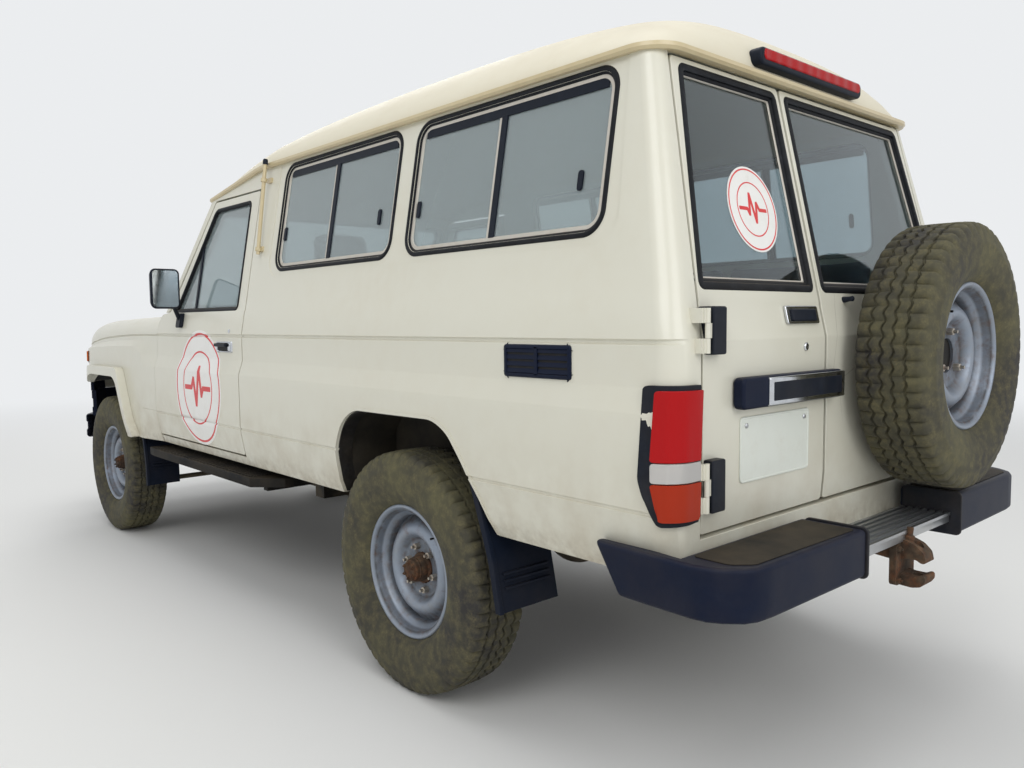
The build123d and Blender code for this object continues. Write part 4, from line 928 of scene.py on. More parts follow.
for word, shape in REAR_DOORS:
    side, body = shape[2], f"rear_door_{word}"
    skin = carved(blank(rear_door_shape(*shape, 0), 10, 0, 14, 5), [blank(rear_window_shape(*shape, 0), 22, -30,
        90)])
    laid(skin, on_rear_door, (778, 1150, 1156, 1162, 1244, 1250))
    settle(skin, f"{body}_skin", "cream_enamel", body, 2.0, body=body, replaces=body)
    inner = carved(blank(rear_door_shape(*shape, 12), 20, 14.2, 60), [blank(rear_window_shape(*shape, 0), 22, -30,
        90)])
    settle(laid(inner, on_rear, (1150, 1156, 1162)), f"{body}_inner", "cream_enamel", body, 3.0, body=body)
    settle(moulding(rear_window_shape(*shape, 13), 26, ((2, 3), (4, 2), (12, 0.5), (3, -2), (1, -6), (6, -2),
        (2, -3)), on_rear, 8, -1), f"rear_window_seal_{word}", "epdm_seal_rubber", sharp=50, body=body)
    settle(moulding(rear_window_shape(*shape, -13), 14, ((1, 1.5), (5, 0.3), (2, -4)), on_rear, 8, -10.5),
        f"rear_window_channel_{word}", "sash_aluminium", sharp=50, body=body)
    # Hinges: a barrel of leaves that take turns along the pin, under a moulded cover
    for k, (low, high) in enumerate(((759, 876), (1129, 1233))):
        third = (high - low) / 3
        cover = blank(rectangle(side * 660, side * 715, low - 4, high + 4), 6, -1, 1, 4)
        settle(laid(cover, upright_to(UPRIGHT), (BELT,)), f"hinge_cover_{word}_{k + 1}", "moulded_abs",
            bevel_mm=4.0, body=body)
        for n, (z0, z1) in enumerate(((low, low + third), (low + third, high - third), (high - third, high))):
            z0, z1 = z0 + 0.3, z1 - 0.3
            owner = body if n == 1 else BODY
            barrel = turned(rectangle(0, 6.4, z0, z1), (side * PIN_X, PIN_Y, 0), (0, 0, 1), 24)
            far = side * 712 if n == 1 else side * 745
            plate = blank(rectangle(side * PIN_X, far, z0, z1), 0, -1, 1)
            parts = [barrel, laid(plate, lambda a, b, depth: (a, PIN_Y if depth < 0 else PIN_Y - 6, b))]
            if n != 1:
                parts.append(slab(upright_to(PIN_Y - 3), (side * 738, side * 750, z0, z1), 0, -1, 2))
            settle(parts, f"hinge_leaf_{word}_{k + 1}_{n + 1}", "cream_enamel", "rear_frame", body=owner)
tell("rear doors")

# %% [markdown]
# The left door carries the fittings: a pull with its lamp over the number plate, a chrome handle in a
# black cup, a lock, and the plate itself, an enamelled sheet with a rolled rim. The plate is blank.

# %% Rear door fittings
LEFT_DOOR, RIGHT_DOOR = "rear_door_left", "rear_door_right"


def fitting(name, box, radius, low, high, finish, body, bevel_mm, lay=on_rear, heights=()):
    """A moulded or pressed fitting laid on a surface: low and high are depths, below zero is proud."""
    shape = laid(blank(rectangle(*box), radius, low, high, 5), lay, heights)
    settle(shape, name, finish, bevel_mm=bevel_mm, segments=3, body=body)


fitting("pull_housing", (104, 600, 988, 1066), 16, -34, -0.2, "grained_polypropylene", LEFT_DOOR, 9)
fitting("pull_trim", (106, 491, 991, 1062), 5, -40, -24, "chrome_plate", LEFT_DOOR, 5)
fitting("pull_label", (128, 474, 1003, 1050), 3, -41.5, -36, "moulded_abs", LEFT_DOOR, 1)
fitting("handle_cup", (176, 342, 1192, 1240), 6, -9, 0, "chrome_plate", LEFT_DOOR, 3, heights=(1244,))
fitting("handle_pull", (196, 322, 1200, 1232), 5, -15, -7, "moulded_abs", LEFT_DOOR, 4)
lock_place = (252, rear_y(1131), 1131)
settle(turned(((0, -1), (11, -1), (11, 3), (8.5, 5), (3, 4), (0, 4)), lock_place, (0, 1, 0), 32), "rear_lock",
    "chrome_plate", body=LEFT_DOOR)
fitting("number_plate", (236, 566, 802, 966), 12, -3, -0.3, "plate_enamel", LEFT_DOOR, 0.6)
settle(moulding(rectangle(236, 566, 802, 966), 12, ((1.5, 1.6), (3, 0), (1.5, -1.4)), on_rear, 6, 2.8),
    "plate_rim", "plate_enamel", body=LEFT_DOOR)
for k, x in enumerate((262, 540)):
    settle(turned(((0, -2), (7, -2), (7, 1.5), (5, 3.5), (0, 4.2)), (x, 2348, 944), (0, 1, 0), 6),
        f"plate_screw_{k + 1}", "mill_aluminium", body=LEFT_DOOR)
settle(turned(((0, -3), (9, -3), (9, 6), (7, 22), (8, 30), (5, 33), (0, 33)), (2, rear_y(1258), 1258), (0, 1, 0.1),
    24), "wiper_spindle", "moulded_abs", body=RIGHT_DOOR)
tell("fittings")

# %% [markdown]
# Each rear lamp wraps round the corner: a dark housing with three lenses, red over clear over amber.
# The lens blanks are cut flat and then bent round the same corner as the steel.

# %% Rear lamps
LENSES = (
    ("red", "red_acrylic", rectangle(2214, 2357, 1047, 886)),
    ("clear", "clear_acrylic", rectangle(2214, 2357, 884, 838)),
    ("amber", "amber_acrylic", ((2214, 836), (2357, 836), (2345, 750), (2230, 750))),
)
for side, word in SIDES:
    wrap = on_shell(side)
    bends = range(2200, 2300, 6)
    housing = blank(((2188, 1058), (2361, 1058), (2361, 742), (2226, 736), (2196, 800), (2188, 840)), 10, -13, 2, 5)
    laid(housing, wrap, (), bends)
    settle(housing, f"lamp_housing_{word}", "moulded_abs", bevel_mm=3, segments=3,
        replaces="rear_lamps" if side > 0 else "")
    for lens, finish, points in LENSES:
        shape = laid(blank(points, 7, -21, -9, 4), wrap, (), bends)
        settle(shape, f"lamp_lens_{lens}_{word}", finish, "lamp_lens", 3.5, 3)


def at_the_back(a, b, depth):
    """Upright, measured from the back of the roof."""
    return a, ROOF_REAR - depth, b


fitting("high_lamp_housing", (-290, 290, 1892, 1940), 18, -30, 14, "moulded_abs", BODY, 8, at_the_back)
fitting("high_lamp_lens", (-276, 276, 1906, 1936), 12, -33.5, -20, "red_acrylic", BODY, 5, at_the_back)
tell("lamps")


# %% [markdown]
# The front door's outline follows the windscreen pillar, and its skin has the same folds as the body side,
# so the lines run through. The frame behind it is narrower, with a slot that closes round the striker.

# %% Front doors
DOOR_OUTLINE = ((-938, 645), (-938, 1215), (-893, 1257), (-788, 1270), (-388, 1775), (80, 1775), (80, 645))
DOOR_INNER = ((-934, 655), (-934, 1215), (-889, 1257), (-784, 1259), (-392, 1765), (56, 1765), (56, 655))
LATCH_SLOT = rectangle(38, 90, 1009, 1031)


def pillar_y(z):
    """Front face of the windscreen pillar at a height."""
    return -850 + 410 / 523 * (z - 1265)


def door_window(grow):
    """Outline of the front door's glass, made larger by grow all round."""
    low, high = 1274 - grow, 1735 + grow
    return (pillar_y(low) + 132 - grow, low), (pillar_y(high) + 110 - grow, high), (2 + grow, high), (2 + grow, low)


for side, word in SIDES:
    lay, body = on_side(side), f"front_door_{word}"
    skin = carved(blank(DOOR_OUTLINE, 12, 0, 20, 5), [blank(door_window(0), 22, -30, 90)])
    settle(laid(skin, lay, FOLDS), f"{body}_skin", "cream_enamel", body, 2.0, body=body, replaces=body)
    inner = carved(blank(DOOR_INNER, 10, 20.2, 60, 4), [blank(door_window(0), 22, -30, 90), blank(LATCH_SLOT, 0,
        27, 94)])
    settle(laid(inner, lay, FOLDS), f"{body}_inner", "cream_enamel", body, 2.0, body=body)
    settle(moulding(door_window(9), 30, ((1.5, 3), (3, 1.2), (6, 0.2), (3, -2), (1, -5), (3, -1.5), (1, -4)), lay,
        8, -0.8), f"door_window_seal_{word}", "epdm_seal_rubber", sharp=50, body=body)
    settle(slab(lay, (-499, -479, 1276, 1578), 2, 6, 22, 4), f"quarter_bar_{word}", "moulded_abs", bevel_mm=1.5,
        body=body)
    # The handle: a chromed frame round a dark cup, with the lift bar across it and a chromed end
    settle(moulding(rectangle(-178, -12, 1082, 1132), 8, ((2, 5), (4, 1), (3, -3), (1, -4)), lay, 5, 0),
        f"door_handle_frame_{word}", "chrome_plate", sharp=45, body=body)
    fitting(f"door_handle_cup_{word}", (-172, -18, 1088, 1126), 5, -2, 0, "epdm_seal_rubber", body, 0.5, lay)
    fitting(f"door_handle_{word}", (-168, -50, 1108, 1123), 5, -21, -1, "moulded_abs", body, 5, lay)
    fitting(f"door_handle_end_{word}", (-44, -20, 1090, 1124), 4, -9, -1, "chrome_plate", body, 3, lay)
    settle(turned(((0, -1), (9, -1), (9, 2.5), (7, 4), (2, 3), (0, 3)), (side * side_x(1176), -44, 1176),
        (side, 0, 0), 24), f"door_lock_{word}", "chrome_plate", body=body)
tell("front doors")

# %% [markdown]
# The doors and one rear window carry a round sticker of printed film, pressed on over the creases, so it is
# a thin disc that is folded with the skin. Its print is a plain one of our own: two rings and a heartbeat.

# %% Stickers
BEAT = ((-0.54, 0.0), (-0.26, 0.0), (-0.17, 0.16), (-0.06, -0.30), (0.07, 0.36), (0.17, -0.13), (0.24, 0.0),
    (0.54, 0.0))


def strokes(points, width, low, high):
    """A zigzag in flat strokes of one width, welded where they meet."""
    strips = []
    for k, ((a0, b0), (a1, b1)) in enumerate(zip(points, points[1:])):
        along = Vector((a1 - a0, b1 - b0)).normalized() * width / 2
        over = Vector((-along.y, along.x))
        ends = (Vector((a0, b0)) - along * 0.6, Vector((a1, b1)) + along * 0.6)
        corners = (ends[0] - over, ends[1] - over, ends[1] + over, ends[0] + over)
        strips.append(blank([tuple(c) for c in corners], width * 0.2, low - 0.003 * k, high + 0.003 * k, 3))
    return carved(strips[0], strips[1:], "UNION")


def sticker(name, a, b, radius, surface, lay, body, heights):
    """A round sticker on a surface at a depth: white film and its red print."""
    def film(piece, shape, finish):
        settle(laid(shape, lay, heights), f"{name}_{piece}", finish, sharp=70, body=body)
    film("film", blank(circle(a, b, radius), 0, surface - 0.7, surface + 0.6), "white_film")
    for k, (out, thick) in enumerate(((0.955, 0.036), (0.64, 0.03))):
        ring = carved(blank(circle(a, b, radius * out), 0, surface - 1.0, surface),
            [blank(circle(a, b, radius * (out - thick)), 0, surface - 20, surface + 20)])
        film(f"ring_{k + 1}", ring, "red_film")
    film("line", strokes([(a + radius * p, b + radius * q) for p, q in BEAT], radius * 0.085, surface - 1.1,
        surface), "red_film")


for side, word in SIDES:
    sticker(f"door_sticker_{word}", -373, 912, 268, 0, on_side(side), f"front_door_{word}", FOLDS)
sticker("window_sticker", 370, 1494, 114, 13.6, on_rear, LEFT_DOOR, ())
tell("stickers")

# %% [markdown]
# The front wings carry on the side's folds, but round the nose the sheet bends inwards, and above the
# groove it turns over a shoulder to the bonnet's edge. The blank is cut flat again: its upper 200 mm become
# the shoulder.

# %% The nose's surface
NOSE_START, GROOVE_FOOT, BONNET_HALF, SHOULDER_MM = -2040, 1046, 693, 200
NOSE_PLAN = [Vector(p) for p in ((0, -2040, 0), (-2, -2090, 0), (-11, -2150, 0), (-31, -2215, 0), (-60, -2280, 0),
    (-98, -2332, 0), (-145, -2366, 0))]
BONNET_LINE = ((-2405, 1060), (-2391, 1088), (-2365, 1124), (-2330, 1152), (-2285, 1176), (-2225, 1197),
    (-2150, 1213), (-2040, 1226), (-1905, 1236), (-1500, 1246), (-1016, 1254), (-900, 1256))
GROOVE_LINE = ((-2405, 1046), (-2300, 1062), (-2160, 1086), (-2008, 1112), (-1849, 1131), (-1627, 1143),
    (-1400, 1152), (-1180, 1156), (-900, 1156))
nose_points = along_curve(NOSE_PLAN, 60)
NOSE_LENGTH = sum((b - a).length for a, b in zip(nose_points, nose_points[1:]))


def on_line(line, y):
    """The value of a table of (place, value) pairs at a place."""
    for (y0, v0), (y1, v1) in zip(line, line[1:]):
        if y <= y1:
            break
    return v0 + (v1 - v0) * unit((y - y0) / (y1 - y0))


def wing_x(a, b):
    """Half width of the wing's skin: raised over the wheel, with a slanted facet where that ends."""
    skin = side_x(b)
    ahead = -1236 + 212 / 90 * max(0, 1093 - max(b, 1003))
    behind = -1090 + 98 / 87 * (1128 - max(b, 1003))
    share = unit((behind - a) / (behind - ahead))
    return skin + share * max(0, 843 - skin) * unit((1128 - b) / 35)


def on_nose(side):
    """Lay a blank on a wing: a is the station, going on round the nose beyond its start, and b the height."""
    def lay(a, b, depth):
        away, y, normal = 0, a, Vector((1, 0, 0))
        if a < NOSE_START:
            place = min(59.999, (NOSE_START - a) / NOSE_LENGTH * 60)
            here, there = nose_points[int(place)], nose_points[int(place) + 1]
            spot = between(here, there, place - int(place))
            away, y, normal = spot.x, spot.y, (there - here).cross(Vector((0, 0, -1))).normalized()
        top, groove = on_line(BONNET_LINE, y), on_line(GROOVE_LINE, y)
        if b <= BELT:
            z = b if b < GROOVE_FOOT else GROOVE_FOOT + (b - GROOVE_FOOT) * (groove - GROOVE_FOOT) / (BELT
                - GROOVE_FOOT)
            return side * (wing_x(a, b) + away - depth * normal.x), y - depth * normal.y, z
        angle = (b - BELT) / SHOULDER_MM * math.pi / 2
        wide, tall = side_x(1149) + away - BONNET_HALF, top - groove
        return (side * (BONNET_HALF + (wide - depth) * math.cos(angle)), y - depth * normal.y * math.cos(angle),
            groove + (tall - depth) * math.sin(angle))
    return lay


# %% [markdown]
# The arch is cut out of the flat wing, and its lip is a softly rounded band. Inside hangs a dark liner, so
# the engine bay doesn't show.

# %% Front wings
NOSE_END = NOSE_START - NOSE_LENGTH
FRONT_ARCH = ((-2600, 400), (-2600, 850), (-2135, 850), (-1977, 918), (-1482, 918), (-1359, 690), (-1245, 570),
    (-1245, 400))
LIP = ((-2165, 858), (-1995, 969), (-1452, 972), (-1310, 692), (-1196, 601), (-1290, 601))
NOSE_STATIONS = tuple(NOSE_START - NOSE_LENGTH * i / 20 for i in range(20)) + tuple(range(-1900, -1000, 150))
SHOULDER = tuple(BELT + SHOULDER_MM * i / 12 for i in range(12))
for side, word in SIDES:
    lay = on_nose(side)
    wing = carved(blank(((-940, 600), (-940, 1356), (NOSE_END, 1356), (NOSE_END, 600)), 0, 0, 22),
        [blank(FRONT_ARCH, 60, -20, 90, 8)])
    folded(wing, FOLDS + SHOULDER + (1093, 1128), NOSE_STATIONS)
    for place, way in (((-1236, 0, 1093), (90, 0, 212)), ((-1090, 0, 1128), (87, 0, 98))):
        near = [f for f in wing.faces if f.calc_center_median().z < BELT and f.calc_center_median().x > -1400]
        bmesh.ops.bisect_plane(wing, geom=near + list({e for f in near for e in f.edges}) + list({v for f in near
            for v in f.verts}), dist=0.02, plane_co=Vector(place), plane_no=Vector(way).normalized())
    settle(laid(wing, lay), f"front_wing_{word}", "cream_enamel", "front_wings", 1.5, sharp=30,
        replaces="front_wings" if side > 0 else "")
    lip = carved(blank(LIP, 30, -44, -0.2, 5), [blank(FRONT_ARCH, 60, -90, 60, 8)])

    def fading(a, b, depth):
        """The lip stands out less and less towards the nose."""
        return lay(a, b, depth * (1 - 0.8 * unit((-1990 - a) / 170)))

    settle(laid(lip, fading, FOLDS, NOSE_STATIONS + (-2010, -1975)), f"wheel_lip_{word}", "cream_enamel",
        "front_wings", 14, 4, 50)
    liner = blank(((-2170, 855), (-2020, 985), (-1440, 985), (-1255, 640), (-1190, 640), (-1400, 1020),
        (-2060, 1020), (-2220, 870)), 30, 813, 435, 5)
    wall = blank(((-2200, 600), (-2200, 850), (-2060, 1018), (-1400, 1018), (-1195, 640), (-1195, 600)), 20, 441,
        434, 5)
    settle([laid(shape, sideways(side)) for shape in (liner, wall)], f"wheel_liner_{word}", "epdm_seal_rubber",
        "front_wings", 2)
    lamp = blank(((-2118, 1060), (NOSE_END + 14, 1040), (NOSE_END + 14, 968), (-2135, 978)), 9, -3, 2, 5)
    settle(laid(lamp, lay, (), NOSE_STATIONS), f"corner_lamp_housing_{word}", "moulded_abs", bevel_mm=1.5)
    lamp = blank(((-2126, 1053), (NOSE_END + 22, 1033), (NOSE_END + 22, 975), (-2142, 985)), 8, -11, -2, 5)
    settle(laid(lamp, lay, (), NOSE_STATIONS), f"corner_lamp_lens_{word}", "orange_acrylic", "lamp_lens", 3, 3)
tell("wings")

# %% [markdown]
# The bonnet is one sheet, stiff because it is crowned both ways and hemmed downwards at its edge, so the
# grid's outer rows turn down.

# %% Bonnet
bonnet_path = along_curve([Vector((0, y, z)) for y, z in ((-2404, 1019),) + BONNET_LINE[:-1]], 72)
ACROSS = 56


def bonnet_point(column, row):
    """A corner of the bonnet's sheet: column goes across, and row from the front lip to the rear edge."""
    share = 2 * unit((column - 1) / (ACROSS - 2)) - 1
    spot = bonnet_path[row]
    x = 689 * share
    front = max(0, 1 - (spot.y + 2405) / 500)
    crown_rise = 15 * (1 - share ** 2) * min(1, (spot.y + 2405) / 350)
    bulge = 7 * math.exp(-(abs(x) / 330) ** 6) * unit((spot.y + 2330) / 160)
    roll = 7 * max(0, (abs(x) - 655) / 34) ** 2
    z = spot.z + crown_rise + bulge - roll
    if column in (0, ACROSS):
        z -= 24
        x *= 0.998
    return x, min(-1016, spot.y + 26 * share ** 2 * front), z


bonnet_sheet = mapped_grid(ACROSS, 72, bonnet_point)
bmesh.ops.solidify(bonnet_sheet, geom=all_of(bonnet_sheet), thickness=0.012)
settle(bonnet_sheet, "bonnet_shape", "cream_enamel", "bonnet", sharp=50, body="bonnet", replaces="bonnet")
for k, x in enumerate((-560, -190, 190, 560)):
    rib = slab(lambda a, b, depth: (b, a, on_line(BONNET_LINE, a) + depth * 0.7), (-2280, -1060, x - 28, x + 28),
        12, -52, -30, 4)
    settle(rib, f"bonnet_rib_{k + 1}", "cream_enamel", "bonnet", 3, body="bonnet")
tell("bonnet")

# %% [markdown]
# Between the wings stands a panel with the grille and two sealed lamps, turned shapes all: an aluminised
# bowl, a domed glass, the chrome ring that holds both, and a cap over the bulb.

# %% Grille panel and headlamps
def on_front(a, b, depth):
    """Lay a blank on the front panel, which is curved a little in plan."""
    return a, -2391 + 21 * (a / 697) ** 2 + depth, b


ACROSS_FRONT = tuple(range(-660, 661, 60))
holes = [blank(circle(x, 905, 99), 0, -30, 90) for x in (-560, 560)]
panel = carved(blank(rectangle(-690, 690, 802, 1012), 10, 0, 26), holes + [blank(rectangle(-425, 425, 812, 998),
    18, -30, 90)])
settle(laid(panel, on_front, (), ACROSS_FRONT), "grille_surround", "cream_enamel", "grille_panel", 3,
    replaces="grille_panel")
settle(moulding(rectangle(-430, 430, 807, 1003), 22, ((2, 4), (4, 1), (5, -2), (1, -12), (2, -6)), on_front, 6,
    -1), "grille_rim", "moulded_abs", sharp=45)
bars = [slab(on_front, (x - 5, x + 5, 813, 997), 2, 2, 40, 3) for x in range(-396, 397, 44)]
bars.append(laid(blank(rectangle(-420, 420, 899, 911), 3, 6, 30, 3), on_front, (), ACROSS_FRONT))
settle(bars, "grille_bars", "moulded_abs", "grille_panel", 2)
core = [laid(blank(rectangle(-432, 432, z, z + 9), 0, 46, 60), on_front, (), ACROSS_FRONT) for z in range(800,
    1000, 13)]
core.append(laid(blank(rectangle(-440, 440, 792, 1008), 4, 56, 66), on_front, (), ACROSS_FRONT))
settle(core, "radiator_core", "epdm_seal_rubber", "grille_panel")
for side, word in SIDES:
    lamp_place = (side * 560, -2377, 905)
    for part, finish, slot, steps, profile in (
        ("ring", "chrome_plate", "headlamps", 72, ((87, -7), (98.6, -7), (98.6, 5), (96.5, 9), (92.5, 10),
            (88, 6))),
        ("bowl", "chrome_plate", "headlamps", 72,
         ((0, -64), (45, -60), (76, -40), (90, -9), (87, -7), (73, -36), (43, -56), (0, -60))),
        ("lens", "lamp_glass", "lamp_lens", 72, ((0, 13), (40, 11), (73, 4), (87, -3), (87, -6), (72, 1), (39, 8),
            (0, 10))),
        ("cap", "chrome_plate", "headlamps", 32, ((0, -34), (16, -34), (18, -20), (14, -14), (0, -12))),
    ):
        settle(turned(profile, lamp_place, (0, -1, 0), steps), f"headlamp_{part}_{word}", finish, slot,
            replaces="headlamps" if part == "ring" and side > 0 else "")

# %% [markdown]
# Below the panel is a black valance that wraps round to the wheel arches, and in front of it the bumper, a
# pressed channel drawn along a path that turns in at both ends.

# %% Valance and front bumper
half_plan = [(side_x(745) - 7 + p.x, p.y + 3) for p in nose_points[::4]]
half_plan += [(x, on_front(x, 0, 4)[1]) for x in (640, 520, 390, 260, 130)]
low_path = [(-x, y, 722) for x, y in half_plan if y < -2150]
low_path = low_path + [(0, -2387, 722)] + [(-x, y, z) for x, y, z in reversed(low_path)]
VALANCE = ((0, -80), (3, -76), (3, -30), (-2, -25), (-2, 25), (3, 30), (3, 74), (0, 78), (-22, 78), (-22, -80))
settle(drawn(low_path, VALANCE), "front_valance", "grained_polypropylene", "grille_panel", sharp=40)
for side, word in SIDES:
    filler = blank(((-2158, 800), (-2158, 849), (NOSE_END, 849), (NOSE_END, 800)), 0, 4, 22)
    settle(laid(filler, on_nose(side), (), NOSE_STATIONS), f"valance_corner_{word}", "grained_polypropylene",
        "grille_panel", 2)
    arm = blank(rectangle(376, 424, -2566, -2356), 4, 500, 600)
    settle(laid(arm, in_plan(side)), f"bumper_arm_{word}", "chassis_enamel", "front_bumper", 3)
bumper_path = [(-799, -2392, 555), (-795, -2418, 555), (-776, -2460, 555), (-742, -2515, 555), (-715, -2543, 555),
    (-675, -2559, 555), (-600, -2570, 555), (-300, -2581, 555), (0, -2584, 555)]
bumper_path += [(-x, y, z) for x, y, z in reversed(bumper_path[:-1])]
CHANNEL = ((0, 30), (0, 62), (-5, 71), (-15, 75), (-58, 75), (-58, 71), (-16, 71), (-9, 68), (-5, 61), (-5, 31),
    (-12, 23), (-12, -23), (-5, -31), (-5, -61), (-9, -68), (-16, -71), (-58, -71), (-58, -75), (-15, -75),
    (-5, -71), (0, -62), (0, -30), (-7, -21), (-7, 21))
bumper_ends = [laid(blank(((-2400, 482), (-2400, 628), (-2464, 628), (-2464, 482)), 6, 786, 792), lambda a, b,
    depth: (side * (depth - (-2400 - a) * 0.32), a, b)) for side in (1, -1)]
settle([drawn(bumper_path, CHANNEL)] + bumper_ends, "front_bumper_channel", "grained_polypropylene",
    "front_bumper", 1.5, sharp=25, replaces="front_bumper")

# %% [markdown]
# The windscreen is held by a rubber section like the side windows. Each wiper is a pressed arm and a blade
# drawn along a slightly curved path.

# %% Windscreen
def on_screen(a, b, depth):
    """Lay a blank on the windscreen's frame."""
    return a, pillar_y(b) + depth, b


def screen_outline(grow):
    """Outline of the windscreen, made larger by grow all round."""
    low, high = 1290 - grow, 1743 + grow
    return ((-side_x(1290) + 75 - grow, low), (side_x(1290) - 75 + grow, low), (side_x(1743) - 70 + grow, high),
        (-side_x(1743) + 70 - grow, high))


settle(moulding(screen_outline(13), 62, ((2, 3), (4, 1.8), (10, 0.4), (4, -1.8), (1, -6), (7, -2), (1, -4)),
    on_screen, 12, -1), "windscreen_seal", "epdm_seal_rubber", sharp=50)
OFF_SCREEN = Vector((0, 0.6, 0.8))
for k, x in enumerate((330, -290)):
    spindle = turned(((0, -4), (13, -4), (13, 10), (10, 16), (0, 17)), (x, pillar_y(1276), 1276), (0, -1, 0.75), 24)
    arm = drawn([(x, pillar_y(1277) - 15, 1277), (x - 60, pillar_y(1292) - 20, 1292),
        (x - 215, pillar_y(1326) - 22, 1326)], ((-2, -7), (-2, 7), (3, 5), (3, -5)), upright=OFF_SCREEN)
    path = [(x - 215 + t, pillar_y(1322 + t * 0.02) - 12 - 3 * (1 - (t / 250) ** 2), 1322 + t * 0.02)
        for t in range(-250, 251, 50)]
    blade = drawn(path, ((-4, -3), (-4, 3), (4, 2), (8, 0), (4, -2)), upright=OFF_SCREEN)
    settle([spindle, arm, blade], f"wiper_{k + 1}", "moulded_abs")


def on_scuttle(a, b, depth):
    """Lay a blank on the scuttle: a is across and b along."""
    return a, b, 1242 + (b + 1008) * 23 / 178 - depth


for k, x in enumerate((-330, 330)):
    ribs = [slab(on_scuttle, (x - 200, x + 200, y, y + 5), 2, -5, 0, 3) for y in range(-966, -900, 11)]
    tray = slab(on_scuttle, (x - 210, x + 210, -975, -895), 8, -2.5, 2, 5)
    settle(ribs + [tray], f"scuttle_vent_{k + 1}", "moulded_abs", bevel_mm=0.8)
tell("front")


# %% [markdown]
# A tyre is a closed tube, so a grid is wrapped round twice: round the wheel and round the profile. Every
# sixth column sinks between two shoulder lugs, and the ribs zigzag, as on an all terrain tyre.

# %% Tyres
TYRE_ROWS = (
    # radius, place outwards, zigzag share, and how deep the cross cuts are in each of six columns
    (204, 62, 0, 0), (213, 66, 0, 0), (222, 72, 0, 0), (228, 82, 0, 0), (244, 91, 0, 0), (268, 100, 0, 0),
    (298, 105.5, 0, 0), (326, 106, 0, 0), (332, 106.8, 0, 0), (338, 105, 0, 0), (352, 101, 0, 0),
    (360, 99.5, 0, 4), (376, 95, 0, 7), (388, 88, 0, 9), (392.5, 80, 0, 9), (395, 54, 1, 9),
    (386, 51.5, 1, 0), (386, 46.5, 1, 0), (395.2, 44, 1, 5), (395.6, 32, 0.6, 5), (395.6, 20, 1, 5),
    (386.5, 17.5, 1, 0), (386.5, 13, 1, 0), (395.7, 10.5, 1, 3), (395.7, 0, 0.4, 3),
)
COLUMNS = 336
CUTS = (1, 0.15, 0, 0, 0, 0.15)
ZIGZAG = (-1, -0.4, 0.6, 1, 0.4, -0.6)


def tyre(place, outward):
    """A tyre round a wheel's middle, with its tread."""
    half = list(TYRE_ROWS)
    rows = half + [(r, -w, z, c) for r, w, z, c in reversed(half[:-1])]
    rows += [(r, w, 0, 0) for r, w in ((226, -60), (300, -92), (365, -70), (372, 0), (365, 70), (300, 92),
        (226, 60))]
    count = len(rows)

    def point(column, row):
        angle = math.tau * (column % COLUMNS) / COLUMNS
        radius, w, zigzag, cut = rows[row % count]
        far_side = 3 if w < 0 else 0
        phase = (column + far_side) % 6
        radius -= cut * CUTS[phase]
        w += 4.5 * zigzag * ZIGZAG[column % 6]
        return radius * math.cos(angle), radius * math.sin(angle), w

    shape = mapped_grid(COLUMNS, count, point)
    bmesh.ops.scale(shape, vec=(1000, 1000, 1000), verts=shape.verts)
    return stand(shape, place, outward)


# %% [markdown]
# The wheel is rolled and pressed steel, a rim with a step for the tyre's bead and a deep dish welded in. It
# is one closed profile turned on a lathe. The axle's hub and its nuts stand in the dish.

# %% Wheels
RIM_PROFILE = (
    (212, 76), (217, 75), (219.6, 71), (218, 67), (211, 65), (205, 63), (202.6, 59), (202.6, 42), (198, 36),
    (187, 29), (185, 22), (185, -34), (190, -40), (202.6, -44), (202.6, -64), (211, -66), (219.6, -70),
    (219.6, -75), (213, -76), (206, -72), (197, -66), (195, -46), (178, -34), (177, -10), (150, 16),
    (138, 27), (126, 31), (114, 28), (104, 14), (97, 2), (92, 0), (52.5, 0), (52.5, 8), (90, 8), (98, 11),
    (106, 24), (114, 35), (123, 40), (133, 40), (144, 34), (158, 20), (172, 5), (177, 3), (177.5, 22),
    (182, 30), (192, 38), (195.5, 45), (195.5, 58), (199, 66), (206, 70), (208.5, 74),
)
HUB_PROFILE = (
    (0, -51), (51, -51), (51, 6), (51, 13), (49, 16), (43, 18), (42, 34), (39.5, 38), (39.5, 44), (37, 46),
    (36, 56), (31, 60), (30, 64), (24, 66), (0, 66),
)


def hexagon_nut(radius, tall):
    """A nut with its chamfered top and a stud in it."""
    nut = bmesh.new()
    bmesh.ops.create_cone(nut, cap_ends=True, segments=6, radius1=radius, radius2=radius, depth=tall)
    upper = [e for e in nut.edges if min(corner.co.z for corner in e.verts) > 0]
    rounded(nut, upper, radius * 0.14, 2)
    stud = bmesh.new()
    bmesh.ops.create_cone(stud, cap_ends=True, segments=12, radius1=radius * 0.5, radius2=radius * 0.42,
        depth=tall * 1.5)
    bmesh.ops.translate(stud, verts=stud.verts, vec=(0, 0, tall * 0.3))
    return joined([nut, stud])


def ring_of_nuts(size, tall, count, radius, along, first, place, outward):
    """Nuts evenly round an axis, the first at an angle."""
    shapes = []
    for k in range(count):
        angle = first + math.tau * k / count
        shape = hexagon_nut(size, tall)
        bmesh.ops.transform(shape, verts=shape.verts, matrix=Matrix.Rotation(angle, 4,
            "Z") @ Matrix.Translation((radius, 0, along)))
        shapes.append(stand(shape, place, outward))
    return joined(shapes)


